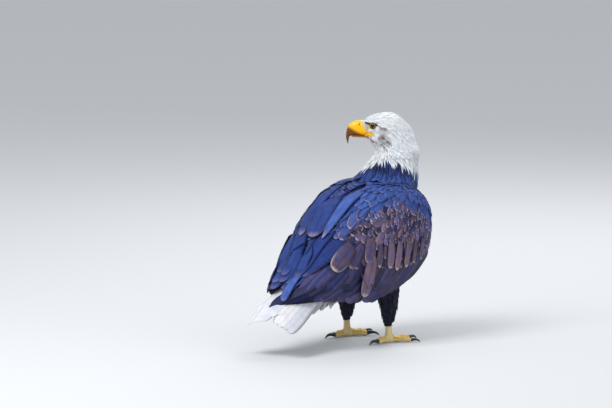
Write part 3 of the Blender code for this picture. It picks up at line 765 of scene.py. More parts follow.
def bake_cells(unwrapped, cell):
    """A cell of the bake map for each feather, the free one nearest to its place on the unwrap."""
    side = int(1 / cell)
    taken, cells = set(), []
    rings = [sorted(
        [(i, j) for i in range(-r, r + 1) for j in range(-r, r + 1) if max(abs(i), abs(j)) == r],
        key=lambda step: step[0] ** 2 + step[1] ** 2,
    ) for r in range(60)]
    for u, v in np.clip(unwrapped, 0, 0.9999):
        column, row = int(u * side), int(v * side)
        spot = next(
            (column + i, row + j) for ring in rings for i, j in ring
            if 0 <= column + i < side and 0 <= row + j < side and (column + i, row + j) not in taken
        )
        taken.add(spot)
        cells.append((spot[0] * cell, spot[1] * cell))
    return np.array(cells)


def bake_corners(cells, patch, rings, loop):
    """Bake map places of the feathers' corners: sides unrolled, then the roots' ends, then the tips'."""
    ring, column = np.arange(rings - 1)[:, None], np.arange(loop)
    left_edge = (column / loop)[None, :].repeat(rings - 1, 0)
    right_edge = left_edge + 1 / loop
    low = (ring / (rings - 1)).repeat(loop, 1)
    high = low + 1 / (rings - 1)
    corners = np.stack([
        np.stack([left_edge, low], -1), np.stack([right_edge, low], -1),
        np.stack([right_edge, high], -1), np.stack([left_edge, high], -1),
    ], axis=2)
    turn = 2 * np.pi * column / loop
    end = 0.5 + 0.1 * np.stack([np.cos(turn), np.sin(turn)], -1)
    sides = cells[:, None, None, None] + patch * corners[None]
    roots = cells[:, None] + patch * end * (1, 0.1)
    tips = cells[:, None] + patch * (end * (1, 0.1) + (0, 0.9))
    return np.concatenate([sides.reshape(-1, 2), roots.reshape(-1, 2), tips.reshape(-1, 2)])


BARB_SLANT = 0.8  # how far barbs run up a vane for each step aside


def vane_mesh(name, centres, normals, halves, thick, camber, unwrapped, facts, columns=3, patch=PATCH,
              cell=PATCH_CELL, roll=0.0):
    """One mesh of many feathers. Arrays run feather, ring; each ring goes over the top and back under."""
    count, rings = halves.shape
    directions = unit(np.gradient(centres, axis=1))
    sides = unit(np.cross(directions, normals))
    ups = unit(np.cross(sides, directions))
    cosine, sine = np.cos(np.reshape(roll, (-1, 1, 1))), np.sin(np.reshape(roll, (-1, 1, 1)))
    sides, ups = sides * cosine + ups * sine, ups * cosine - sides * sine
    top = np.linspace(-1, 1, columns)
    across = np.concatenate([top, top[-2:0:-1]])
    face = np.concatenate([np.ones(columns), -np.ones(columns - 2)])
    loop = len(across)
    swell = np.broadcast_to(thick, halves.shape)[:, :, None] * (1 - across**2) * face / 2
    swell = swell - camber * halves[:, :, None] * across**2
    grid = (
        centres[:, :, None] + sides[:, :, None] * (halves[:, :, None] * across)[..., None]
        + ups[:, :, None] * swell[..., None]
    )
    start = (np.arange(count) * rings * loop)[:, None]
    ring, column = np.arange(rings - 1)[:, None], np.arange(loop)
    here = start[..., None] + ring * loop + column
    after = start[..., None] + ring * loop + (column + 1) % loop
    quads = np.stack([here, after, after + loop, here + loop], axis=-1).reshape(-1, 4)
    base, tip = start + column[::-1], start + (rings - 1) * loop + column
    mesh = bpy.data.meshes.new(name)
    mesh.from_pydata(grid.reshape(-1, 3), [], quads.tolist() + base.tolist() + tip.tolist())
    piece = bpy.data.objects.new(name, mesh)
    bpy.context.scene.collection.objects.link(piece)
    uv = bake_corners(bake_cells(unwrapped, cell), patch, rings, loop)
    mesh.uv_layers.new(name="OFBake").data.foreach_set("uv", uv.astype(np.float32).ravel())
    steps = np.linalg.norm(np.diff(centres, axis=1), axis=2)
    down = np.concatenate([np.zeros((count, 1)), np.cumsum(steps, axis=1)], axis=1)
    spread_facts = {fact: np.reshape(values, (-1, 1, 1)) for fact, values in facts.items()}
    spread_facts.update({
        "across": across,
        "along": (down / down[:, -1:])[:, :, None],
        "barb": 1000 * (down[:, :, None] - BARB_SLANT * np.abs(across) * halves[:, :, None]),
    })
    for fact, values in spread_facts.items():
        keep_attribute(piece, fact, np.broadcast_to(values, (count, rings, loop)).ravel())
    mesh.shade_smooth()
    return piece


def lay_feathers(name, roots, lie, lengths, widths, look, facts, unwrapped, material, ring_count=5,
                 sink=0.002, lift=0.0004, lift_spread=0.0003, thick=0.0005, camber=0.25, columns=3,
                 ground=form_ground, roll_spread=0.10):
    """Feathers along the coat from their roots, as one piece: sink is how deep their bases lie."""
    shares = 1 - (1 - np.linspace(0, 1, ring_count)) ** 1.4
    places, normals = follow(roots, lie, lengths, shares, ground)
    tips = lift + lift_spread * random.normal(size=len(roots))
    heights = -sink + (sink + tips)[:, None] * shares**0.8
    facts = {"tone": random.random(len(roots)), **facts}
    piece = vane_mesh(
        name, places + normals * heights[:, :, None], normals,
        widths[:, None] / 2 * outline_of_vane(shares, **look), thick * (1 - 0.6 * shares), camber, unwrapped,
        facts, columns, roll=random.normal(size=len(roots)) * roll_spread,
    )
    piece.data.materials.append(material)
    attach(piece, "root")
    return piece


def feather_material(name, shades, browns, pale, root_painted_shade, shaft, barb_mm=0.9, relief=0.5, roughness=0.6,
                     gloss=0.3):
    """A vane's finish: shades and browns by tone, a pale rim, a root darkened with painted shade from the
    feathers over it, a shaft and ridged barbs.
    """
    material, shader = new_material(name, Roughness=roughness, Specular_IOR_Level=gloss)
    tone, brown, pale_share, across, along, barb = (
        add_node(material, "Attribute", "Fac", attribute_name=fact)
        for fact in ("tone", "brown", "pale", "across", "along", "barb")
    )
    across = add_node(material, "Math", 0, {0: across}, operation="ABSOLUTE")
    place = add_node(material, "TexCoord", "Object")
    mixed, times = {"data_type": "RGBA"}, {"operation": "MULTIPLY"}
    eased = {"interpolation_type": "SMOOTHSTEP"}
    colour = add_node(material, "Mix", 2, {0: tone, 6: linear(shades[0]), 7: linear(shades[1])}, **mixed)
    if browns:
        blotch = add_node(material, "TexNoise", "Fac", {"Vector": place, "Scale": 70, "Detail": 2})
        worn = add_node(material, "MapRange", 0, {0: blotch, 1: 0.35, 2: 0.62, 3: 0.55, 4: 1.0}, **eased)
        worn = add_node(material, "Math", 0, {0: brown, 1: worn}, **times)
        browned = add_node(material, "Mix", 2, {0: tone, 6: linear(browns[0]), 7: linear(browns[1])}, **mixed)
        colour = add_node(material, "Mix", 2, {0: worn, 6: colour, 7: browned}, **mixed)
    cloud = add_node(material, "TexNoise", "Fac", {"Vector": place, "Scale": 55, "Detail": 3})
    colour = add_node(material, "Mix", 2, {0: 0.55, 6: colour, 7: cloud}, blend_type="SOFT_LIGHT", **mixed)
    if pale:
        side, outer, tip = (
            add_node(material, "MapRange", 0, {0: value, 1: start, 2: end}, **eased)
            for value, start, end in ((across, 0.72, 0.98), (along, 0.45, 0.95), (along, 0.88, 1.0))
        )
        rim = add_node(material, "Math", 0, {0: side, 1: outer}, **times)
        rim = add_node(material, "Math", 0, {0: rim, 1: tip}, operation="MAXIMUM")
        rim = add_node(material, "Math", 0, {0: rim, 1: pale_share}, **times)
        colour = add_node(material, "Mix", 2, {0: rim, 6: colour, 7: linear(pale)}, **mixed)
    # Painted shade darkens each vane towards its root, where the feathers over it lie; the shaft's line is
    # its own colour.
    for value, start, end, strength, tint in (
        (along, 0.55, 0.0, root_painted_shade, "#0c0e18"), (across, 0.10, 0.02, 0.45, shaft)
    ):
        mask = add_node(material, "MapRange", 0, {0: value, 1: start, 2: end, 4: strength}, **eased)
        colour = add_node(material, "Mix", 2, {0: mask, 6: colour, 7: linear(tint)}, **mixed)
    ridges = add_node(material, "Math", 0, {0: barb, 1: 2 * math.pi / barb_mm}, **times)
    ridges = add_node(material, "Math", 0, {0: ridges}, operation="SINE")
    ridges = {"Strength": relief, "Distance": 0.0003, "Height": ridges}
    link_surface(shader, colour, add_node(material, "Bump", "Normal", ridges))
    return material


FACE_FEATHER, NAPE_FEATHER = 0.0070, 0.0200  # lengths
ROUND_VANE = dict(base=0.45, widest=0.55, tip=2.0, bluntness=0.14)
LANCE_VANE = dict(base=0.55, widest=0.38, tip=1.25, bluntness=0.06)
CROWN_VANE = dict(base=0.50, widest=0.45, tip=1.6, bluntness=0.08)
# Unpigmented keratin: a cool, matt white, brown where the face is stained.
white_plumage = feather_material(
    "white_feather_keratin", ("#e4eaf0", "#f6f7f8"), ("#5f514c", "#8a7a76"), None, 0.06, "#dfe2e6", relief=0.2
)


def head_lie(points):
    """Back over the crown, back and down over the cheeks, then down the neck."""
    height = points[:, 2]
    down = 0.62 + 0.9 * (1 - smooth_step(height, 0.535, 0.585)) + 2.0 * (1 - smooth_step(height, 0.46, 0.53))
    lie = -np.array(head_forward)[None] - np.outer(down, (0, 0, 1))
    rearward = smooth_step(points[:, 1], head_axis.y - 0.02, head_axis.y + 0.08)
    rearward = rearward * (1 - smooth_step(height, 0.42, 0.50))
    return lie * (1 - rearward)[:, None] + np.outer(rearward, (0, 0.62, -0.78)) * 2


def from_bill(points):
    ahead, left, height = head_coordinates(points)
    return np.sqrt((ahead - 0.068) ** 2 + (0.8 * left) ** 2 + (height - 0.570) ** 2)


def head_feather_length(points):
    return FACE_FEATHER + (NAPE_FEATHER - FACE_FEATHER) * smooth_step(from_bill(points), 0.012, 0.095)


def head_unwrap(points):
    """Round the head's axis, and up from the throat."""
    ahead, left, height = head_coordinates(points)
    return np.stack([np.arctan2(left, ahead) / (2 * math.pi) + 0.5, (height - 0.42) / 0.20], axis=1)


CERE_EDGE = ((0.5485, 0.0560), (0.5570, 0.0430), (0.5636, 0.0540), (0.5680, 0.0590), (0.5760, 0.0660),
             (0.5860, 0.0690), (0.5930, 0.0600))  # height, and how far ahead feathers reach
CHIN_LOW, CHIN_HIGH = 0.5410, 0.5485  # heights of the bare skin below the mouth
LID_BARE, BROW_BARE = 0.0098, 0.0022  # round the eye's axis, and each side of the brow's edge


def bare_face(points):
    """True where no feather roots: bill, lores, lids, the brow's edge and the gape."""
    ahead, _, height = head_coordinates(points)
    brow_gap, _ = distance_to_line(ahead, height, BROW)
    shade_gap, _ = distance_to_line(ahead, height, BROW_SHADE)
    past_cere = ahead > np.interp(height, *zip(*CERE_EDGE))
    return (
        (oval(ahead, height, *LORE) < 1) | (oval(ahead, height, *GAPE) < 1.05)
        | past_cere & (height > CHIN_HIGH) & (height < 0.5935)
        | (ahead > 0.052) & (height > CHIN_LOW) & (height <= CHIN_HIGH)
        | (from_eye_axis(points, 0) < LID_BARE) | (brow_gap < BROW_BARE) & (ahead > 0.02)
        | (shade_gap < BROW_BARE) & (ahead > 0.028)
    )


STREAK = ((0.031, 0.579), (0.020, 0.573), (0.008, 0.568))  # behind the eye
SMUDGES = (  # ovals, where each fades from and to, and its strength
    ((0.0140, 0.5410), (0.0190, 0.0150), (0.3, 1.4), 0.62),  # cheek
    ((0.0140, 0.5610), (0.0150, 0.0130), (0.3, 1.4), 0.50),  # temple
    ((0.0410, 0.5635), (0.0120, 0.0045), (0.4, 1.4), 0.42),  # below the eye
    ((0.0210, 0.5220), (0.0180, 0.0160), (0.3, 1.3), 0.26),  # throat
    ((0.0170, 0.5430), (0.0100, 0.0050), (0.4, 1.6), 0.80),  # darker spots on the cheek
    ((-0.002, 0.5300), (0.0060, 0.0060), (0.4, 1.6), 0.80),
    ((0.0060, 0.5160), (0.0050, 0.0040), (0.4, 1.6), 0.80),
    ((0.0060, 0.5360), (0.0080, 0.0040), (0.4, 1.6), 0.80),
)


def smudges(points):
    """Grey-brown staining behind the eye, over the cheek and along the crease below it."""
    ahead, _, height = head_coordinates(points)
    streak, _ = distance_to_line(ahead, height, STREAK)
    crease, _ = distance_to_line(ahead, height, MOUTH_CREASE)
    stain = 0.95 * (1 - smooth_step(streak, 0.001, 0.005)) + 1 - smooth_step(crease, 0.0008, 0.0045)
    for middle, half, fade, strength in SMUDGES:
        stain += strength * (1 - smooth_step(oval(ahead, height, middle, half), *fade))
    return np.clip(stain, 0, 1)


def tuft(points):
    """Nearness to the loose tuft on the nape."""
    ahead, _, height = head_coordinates(points)
    return np.exp(-(((ahead + 0.078) / 0.018) ** 2) - ((height - 0.520) / 0.013) ** 2)


on_head = np.isin(form_owners, ("head", "neck"))
chosen = on_head & (form_centres[:, 2] > 0.505) & open_faces & ~bare_face(form_centres)
roots = scatter(chosen, lambda p: 0.20 * head_feather_length(p))
roots = roots[~bare_face(roots)]
ends = roots + unit(head_lie(roots)) * 0.85 * head_feather_length(roots)[:, None]
ahead, _, height = head_coordinates(ends)
roots = roots[oval(ahead, height, *GAPE) >= 1.0]
on_face = smooth_step(-from_bill(roots), -0.055, -0.030) > 0.5
for name, members in (("face_feathers", on_face), ("crown_feathers", ~on_face)):
    here = roots[members]
    lengths = head_feather_length(here) * random.uniform(0.85, 1.15, len(here))
    middles = here + unit(head_lie(here)) * 0.55 * lengths[:, None]
    lay_feathers(
        name, here, head_lie, lengths, lengths * 0.33, CROWN_VANE, {"brown": smudges(middles)},
        head_unwrap(here), white_plumage, ring_count=4, sink=0.0016,
        lift=0.0002 + 0.0100 * tuft(here), lift_spread=0.0002, thick=0.0004, camber=0.10,
    )

# ---- Neck, breast and back plumage -------------------------------------------------------------
# Long pointed hackles drape the neck. White ones end in a ragged edge over dark ones of the same
# shape. Rounder feathers cover breast, belly, flanks and mantle, blue-black with a soft paler rim, their blue
# a painted reflection of blue sky on dark feathers.
CAPE_VOXEL = 0.0045
CAPE_REACH = 0.0090  # grooves up to twice this wide are closed over
cape = merged_copy("cape", ["trunk", "neck", "tail_coverts"] + FLIGHT + [
    f"wing_{side}_coverts" for side in ("left", "right")
])
apply_modifier(cape, "DISPLACE", strength=CAPE_REACH, mid_level=0)
apply_modifier(cape, "REMESH", mode="VOXEL", voxel_size=CAPE_VOXEL, use_smooth_shade=True)
keep_largest_shell(cape)
outward = unit(spread(cape, vertex_array(cape, "normal"), 2))
move_vertices(cape, vertex_array(cape) - outward * (CAPE_REACH - 0.0014))
move_vertices(cape, spread(cape, vertex_array(cape), 2))
cape_ground = read_form(cape, unit(spread(cape, vertex_array(cape, "normal"), 3)))
cape_tree, cape_centres = cape_ground["tree"], cape_ground["centres"]
a, b, c, d = np.moveaxis(cape_ground["points"][cape_ground["faces"]], 1, 0)
cape_ground["areas"] = 0.5 * np.linalg.norm(np.cross(c - a, d - b), axis=1)
bpy.data.objects.remove(cape)

# Pigmented keratin of the body, blue-black with a paler blue rim, and plain near-black on the thighs: a dark
# colour with a painted reflection of blue sky in it, faint on the thighs.
dark_plumage = feather_material(
    "dark_feather_keratin", ("#13224d", "#243a76"), ("#382c3c", "#5c4a58"), "#5d73b8", 0.45, "#16204a",
    relief=0.35, roughness=0.6,
)
thigh_plumage = feather_material(
    "thigh_feather_keratin", ("#080a18", "#141a38"), None, None, 0.5, "#05060e", relief=0.35, roughness=0.7
)


TRUNK_BACK, TRUNK_DOWN, TRUNK_MIDDLE = 0.79, 0.61, 0.33  # the trunk's long way, and its height


def body_unwrap(points):
    """Round the trunk's long axis, and along it from breast to tail."""
    x, y, z = points.T
    along = y * TRUNK_BACK - (z - TRUNK_MIDDLE) * TRUNK_DOWN
    above = y * TRUNK_DOWN + (z - TRUNK_MIDDLE) * TRUNK_BACK
    return np.stack([np.arctan2(x, above + 0.10) / (2 * math.pi) + 0.5, (along + 0.30) / 0.55], axis=1)


def body_lie(points):
    """Down the neck and breast, back under the belly, and back and down along the mantle."""
    neck = smooth_step(points[:, 2], 0.43, 0.50)[:, None]
    every = np.ones(len(points))
    body = np.stack([0.12 * np.sign(points[:, 0]), 0.78 * every, -0.66 * every], axis=1)
    return head_lie(points) * neck + body * (1 - neck)


def hackle_length(points):
    return 0.018 + 0.024 * smooth_step(-points[:, 2], -0.525, -0.455)


chosen = on_head & (form_centres[:, 2] <= 0.513) & open_faces
roots = scatter(chosen, lambda p: 0.150 * hackle_length(p))
lengths = hackle_length(roots) * random.uniform(0.8, 1.2, len(roots))
ragged = random.normal(size=len(roots)) * 0.0035
whites = roots[:, 2] + ragged - 0.55 * lengths > white_edge(roots) - 0.006
for name, members, material, slot, facts, ground in (
    ("white_hackles", whites, white_plumage, "white_plumage", {"brown": 0.0}, form_ground),
    ("dark_hackles", ~whites, dark_plumage, "body_plumage", {"brown": 0.0, "pale": 0.35}, cape_ground),
):
    here = roots[members]
    lay_feathers(
        name, here, body_lie, lengths[members], lengths[members] * 0.20, LANCE_VANE, facts, head_unwrap(here),
        material, ring_count=7, sink=0.0045, lift=0.0010, lift_spread=0.0008, thick=0.0005,
        ground=ground,
    )


def body_feather_length(points):
    """Shorter up on the breast and shoulders, longer on the belly."""
    return 0.030 + 0.014 * smooth_step(-points[:, 2], -0.42, -0.26)


roots = scatter((form_owners == "trunk") & open_faces, lambda p: 0.20 * body_feather_length(p))
lengths = body_feather_length(roots) * random.uniform(0.85, 1.15, len(roots))
count = len(roots)
lay_feathers(
    "body_feathers", roots, body_lie, lengths, lengths * 0.50, ROUND_VANE,
    {"brown": np.clip(random.normal(size=count) * 0.15, 0, 0.4), "pale": random.uniform(0.1, 0.5, count)},
    body_unwrap(roots), dark_plumage, ring_count=6, sink=0.0055, lift=0.0010,
    lift_spread=0.0006, thick=0.0007,
)

# ---- Leg plumage -------------------------------------------------------------------------------
# Loose dark feathers hang down the thigh to the ankle, where short ones end over the bare shank.
ANKLE_FEATHER, THIGH_FEATHER = 0.016, 0.036  # lengths


def leg_feather_length(points):
    return ANKLE_FEATHER + (THIGH_FEATHER - ANKLE_FEATHER) * smooth_step(points[:, 2], 0.06, 0.16)


def leg_lie(points):
    return np.tile((0.0, 0.10, -1.0), (len(points), 1))


for side in ("left", "right"):
    chosen = (form_owners == f"leg_{side}_feathered") & open_faces
    roots = scatter(chosen, lambda p: 0.17 * leg_feather_length(p))
    lengths = leg_feather_length(roots) * random.uniform(0.85, 1.2, len(roots))
    lengths = np.minimum(lengths, np.maximum(roots[:, 2] - ankle + 0.012, 0.008))
    east, north, _ = (roots - np.array(sum(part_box(f"leg_{side}_feathered"), Vector()) / 2)).T
    unwrapped = np.stack([np.arctan2(east, north) / (2 * math.pi) + 0.5, roots[:, 2] / 0.28], axis=1)
    lay_feathers(
        f"leg_{side}_feathers", roots, leg_lie, lengths, lengths * 0.36, ROUND_VANE, {}, unwrapped,
        thigh_plumage, ring_count=5, sink=0.0040, lift=0.0010, lift_spread=0.0010,
        thick=0.0006,
    )

# ---- Tail coverts ------------------------------------------------------------------------------
# White feathers, 40 to 60 mm long, that cover the roots of the tail above and below.
TAIL_COVERT, TAIL_COVERT_PITCH = 0.050, 0.0075  # length, 15 % less to 25 % more by chance, and spacing
TAIL_WAY = Vector((-0.125, 0.887, -0.4446)).normalized()


def tail_lie(points):
    return np.tile(tuple(TAIL_WAY), (len(points), 1))


chosen = (form_owners == "tail_coverts") & open_faces
roots = scatter(chosen, lambda p: np.full(len(p), TAIL_COVERT_PITCH))
lengths = TAIL_COVERT * random.uniform(0.85, 1.25, len(roots))
lay_feathers(
    "tail_covert_feathers", roots, tail_lie, lengths, lengths * 0.42, ROUND_VANE,
    {"brown": 0.0}, body_unwrap(roots), white_plumage, ring_count=8,
    sink=0.0050, lift=0.0010, lift_spread=0.0008, thick=0.0007,
)

# ---- Mantle and wing coverts -------------------------------------------------------------------
# Blue-slate feathers close over the back and the folded wings, dark feathers whose blue is a painted
# reflection of blue sky. Outside and below them lie the brown
# wing coverts: streaky and slender at the bend of the wing, broad with pale rims along its lower rows.
BLUE_EDGE = ((-0.262, 0.345), (-0.152, 0.414), (-0.074, 0.396), (-0.032, 0.388), (0.032, 0.336),
             (0.068, 0.273), (0.085, 0.225))  # distance along the body, and height: blue above it
COVERT_TIPS = ((-0.262, 0.262), (-0.200, 0.223), (-0.138, 0.216), (-0.042, 0.222), (-0.006, 0.228),
               (0.049, 0.222), (0.099, 0.252), (0.104, 0.34))  # the same, along the coverts' lower edge
LIT_SHOULDER = (-0.068, -0.075, 0.398)  # the middle of a patch of paler blue
COVERTS_TOP, COVERTS_BACK = 0.470, 0.125  # height, and place along the body, where they end
BEND_SLATE, MORE_SLATE = 0.046, 0.026  # length of a blue feather at the bend, and what the tail adds
BEND_BROWN, LOWER_BROWN, MORE_BROWN = 0.036, 0.022, 0.012  # brown ones: at the bend, added low down and back


def brownness(points):
    """0 on the blue back, 1 on the brown of the wing, with a soft change between them."""
    edge = np.interp(points[:, 1], *zip(*BLUE_EDGE))
    return smooth_step(edge - points[:, 2], -0.012, 0.022) * smooth_step(np.abs(points[:, 0]), 0.055, 0.080)


def wing_lie(points):
    """Back and down: steep at the bend and along the lower rows, level along the top."""
    low = smooth_step(-points[:, 2], -0.34, -0.24)
    front = smooth_step(-points[:, 1], 0.02, 0.16)
    fall = np.radians(40 + 28 * low * (1 - smooth_step(points[:, 1], 0.01, 0.07)) + 22 * front * (1 - low))
    side = 0.10 * np.sign(points[:, 0]) * smooth_step(points[:, 2], 0.36, 0.44)
    return np.stack([side, np.cos(fall), -np.sin(fall)], axis=1)


def wing_unwrap(points):
    """The side of the body laid flat, left and right wings side by side."""
    return np.stack([
        np.where(points[:, 0] > 0, 0.25, 0.75) + points[:, 1] * 0.85, (points[:, 2] - 0.10) / 0.38
    ], axis=1)


cape_height = cape_centres[:, 2]
on_wing_side = (np.abs(cape_centres[:, 0]) > 0.060) | (cape_height > 0.30)
covert_floor = np.interp(cape_centres[:, 1], *zip(*COVERT_TIPS))
clothed = (
    on_wing_side & (cape_height > covert_floor + 0.018) & (cape_ground["normals"][:, 2] > -0.45)
    & (cape_height < COVERTS_TOP) & (cape_centres[:, 1] < COVERTS_BACK)
)
brown_here = brownness(cape_centres)
# The coverts' keratin, slate blue, or worn to a streaky brown with buff rims. The slate blue is a dark
# feather with a painted reflection of blue sky. It has little gloss.
wing_finish = feather_material(
    "wing_feather_keratin", ("#142a6a", "#3f5ba4"), ("#2b2034", "#8a6c74"), "#d2bcb6", 0.28, "#18224c",
    relief=0.35, roughness=0.6, gloss=0.18,
)


def slate_length(points):
    """Small on the neck's sides and the bend of the wing, longer towards the tail."""
    return BEND_SLATE + MORE_SLATE * smooth_step(points[:, 1], -0.20, -0.02)


def brown_length(points):
    """Small at the bend of the wing, longer in the lower rows and towards the tail."""
    lower = smooth_step(-points[:, 2], -0.38, -0.25)
    return BEND_BROWN + LOWER_BROWN * lower + MORE_BROWN * smooth_step(points[:, 1], -0.15, 0.0)


def slenderness(points):
    """Width as a share of length: slender at the bend of the wing."""
    return 0.56 - 0.30 * smooth_step(-points[:, 1], 0.070, 0.130)


roots = scatter(clothed & (brown_here < 0.5), lambda p: 0.22 * slate_length(p), cape_ground)
lengths = slate_length(roots) * random.uniform(0.85, 1.2, len(roots))
count = len(roots)
fringe = smooth_step(brownness(roots), 0.02, 0.4)
hem = smooth_step(roots[:, 1], -0.050, -0.015) * (1 - smooth_step(roots[:, 1], 0.020, 0.030))
# The mantle's edge rides over the tertials' roots, and its middle over the scapulars.
over_tertials = 0.0006 + 0.0030 * hem - 0.0022 * smooth_step(roots[:, 1], 0.020, 0.040)
over_tertials += 0.0040 * np.exp(-((roots[:, 0] / 0.040) ** 2)) * smooth_step(roots[:, 2], 0.37, 0.40)
facts = {
    "brown": 0.35 * fringe * random.random(count), "pale": random.uniform(0.0, 0.25, count) + 0.5 * fringe,
    "tone": 0.10 + 0.35 * smooth_step(-roots[:, 0], -0.02, 0.04) + 0.20 * random.random(count)
    + 0.55 * np.exp(-np.sum(((roots - LIT_SHOULDER) / 0.040) ** 2, axis=1)),
}
lay_feathers(
    "mantle_feathers", roots, wing_lie, lengths, lengths * 0.50, ROUND_VANE, facts, wing_unwrap(roots),
    wing_finish, ring_count=9, sink=0.0045, lift=over_tertials, lift_spread=0.0003,
    thick=0.0004, camber=0.06, columns=5, ground=cape_ground, roll_spread=0.04,
)

roots = scatter(
    clothed & (brown_here >= 0.5), lambda p: (0.12 + 0.24 * slenderness(p)) * brown_length(p), cape_ground
)
lengths = brown_length(roots) * random.uniform(0.8, 1.25, len(roots))
room_below = roots[:, 2] - np.interp(roots[:, 1], *zip(*COVERT_TIPS))
lengths = np.minimum(lengths, np.maximum(room_below * 1.25, 0.018))
streaked = smooth_step(-roots[:, 1], 0.04, 0.10)
tone = random.random(len(roots)) ** (1.4 - 0.4 * streaked)
on_left = roots[:, 0] > 0
for name, members in (("left_wing_coverts", on_left), ("right_wing_coverts", ~on_left)):
    here = roots[members]
    count = len(here)
    facts = {
        "brown": random.uniform(0.55, 1.0, count), "pale": random.uniform(0.1, 1.0, count) ** 1.5,
        "tone": tone[members],
    }
    lay_feathers(
        name, here, wing_lie, lengths[members], (lengths * slenderness(roots))[members], ROUND_VANE, facts,
        wing_unwrap(here), wing_finish, ring_count=9, sink=0.0045, lift=0.0010,
        lift_spread=0.0003, thick=0.0005, camber=0.09, columns=5, ground=cape_ground, roll_spread=0.06,
    )

# ---- Flight feathers ---------------------------------------------------------------------------
# Long stiff vanes with a strong shaft: secondaries along the wing's lower edge, primaries to its tip,
# tertials and long scapulars over them, and the lowest row of great coverts across their roots.
VANE_THICK, END_LIFT, ROOT_SUNK = 0.0010, 0.0010, 0.0065
FLIGHT_PATCH = 0.012  # of a feather on the bake map
CAST_OUT, CAST_REACH = 0.10, 0.13  # a line is cast onto the plumage from this far out, and this far


def facing_at(point):
    """The way the plumage faces by a point: seen from the side on the flanks, else by the nearest place."""
    point = Vector(point)
    side = 1 if point.x > 0 else -1
    hit, facing, _, _ = cape_tree.ray_cast(Vector((side * 0.3, point.y, point.z)), Vector((-side, 0, 0)))
    if hit is not None and (abs(point.x) > 0.030 or point.z < 0.160):
        return facing
    return cape_tree.find_nearest(point)[1]


def laid_line(root, tip, ring_count, upright):
    """A centre line from root to tip, laid on the outside of the plumage, seen from the side if upright."""
    shares = 1 - (1 - np.linspace(0, 1, ring_count)) ** 1.25
    root_normal, tip_normal = facing_at(root), facing_at(tip)
    chords, outs, rises, faces = [], [], [], []
    for share in shares:
        chord = Vector(root).lerp(Vector(tip), share)
        out = root_normal.lerp(tip_normal, share) * Vector((1, 1, 1 - upright))
        out.normalize()
        hit, facing, face, _ = cape_tree.ray_cast(chord + out * CAST_OUT, -out, CAST_REACH)
        held = hit is not None and facing.dot(out) > 0.3
        chords.append(tuple(chord))
        outs.append(tuple(out))
        rises.append((hit - chord).dot(out) if held else np.nan)
        faces.append(tuple(cape_ground["normals"][face]) if held else tuple(out))
    rises, normals = np.array(rises), np.array(faces)
    known = ~np.isnan(rises)
    if known.sum() > 2:
        rises = np.interp(shares, shares[known], rises[known])
        normals = np.stack([np.interp(shares, shares[known], axis[known]) for axis in normals.T], axis=1)
    else:
        rises = np.zeros(ring_count)
    rises = np.polyval(np.polyfit(shares, rises, 3), shares)
    normals = unit(np.stack([np.polyval(np.polyfit(shares, axis, 2), shares) for axis in normals.T], axis=1))
    line = np.array(chords) + np.array(outs) * rises[:, None]
    return line + normals * (END_LIFT * shares)[:, None], normals, shares


def flight_piece(name, plan, look, material, facts, ring_count=18, camber=0.08, upright=0.0,
                 climb=(0.14, 0.45)):
    """One mesh of long feathers. The plan lists root, tip, width, height over the wing, and tilt."""
    centres, normals, halves = [], [], []
    for root, tip, width, height, _ in plan:
        line, facing, shares = laid_line(root, tip, ring_count, upright)
        sunk = height * smooth_step(shares, *climb)
        sunk = sunk - ROOT_SUNK * (1 - smooth_step(shares, 0.0, climb[0] + 0.05))
        centres.append(line + facing * sunk[:, None])
        normals.append(facing)
        halves.append(width / 2 * outline_of_vane(shares, **look))
    centres = np.array(centres)
    piece = vane_mesh(
        name, centres, np.array(normals), np.array(halves), VANE_THICK * (1 - 0.5 * shares), camber,
        wing_unwrap(centres[:, 0]), {"tone": random.random(len(plan)), **facts}, 5, patch=FLIGHT_PATCH,
        cell=FLIGHT_PATCH * 1.05, roll=[row[4] for row in plan],
    )
    piece.data.materials.append(material)
    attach(piece, "root")
    return piece


def between(points, share):
    """A place along a row of points, by its share of the way."""
    last = len(points) - 1
    return np.array([np.interp(share * last, range(last + 1), axis) for axis in zip(*points)])


FLIGHT_VANE = dict(base=0.50, widest=0.45, tip=2.6, bluntness=0.12)
POINTED_VANE = dict(base=0.45, widest=0.40, tip=1.7, bluntness=0.10)
# The right wing's rows, from the bend of the wing backwards. The left wing mirrors them.
SECONDARY_ROOTS = ((-0.130, -0.236, 0.268), (-0.137, -0.200, 0.262), (-0.138, -0.150, 0.256),
                   (-0.136, -0.100, 0.250), (-0.132, -0.055, 0.244), (-0.122, -0.010, 0.240),
                   (-0.108, 0.035, 0.240), (-0.098, 0.048, 0.266))
SECONDARY_TIPS = ((-0.132, -0.140, 0.173), (-0.128, -0.100, 0.150), (-0.121, -0.055, 0.134),
                  (-0.112, -0.010, 0.126), (-0.103, 0.038, 0.129), (-0.092, 0.090, 0.136),
                  (-0.070, 0.150, 0.143), (-0.055, 0.184, 0.158))
PRIMARY_ROOTS = ((-0.106, 0.010, 0.190), (-0.098, 0.045, 0.190), (-0.086, 0.080, 0.190),
                 (-0.066, 0.105, 0.200))
PRIMARY_TIPS = {
    "right": ((-0.055, 0.188, 0.137), (-0.046, 0.214, 0.136), (-0.034, 0.244, 0.133), (-0.018, 0.276, 0.129)),
    "left": ((-0.064, 0.160, 0.154), (-0.054, 0.175, 0.160), (-0.042, 0.190, 0.164), (-0.030, 0.203, 0.168)),
}
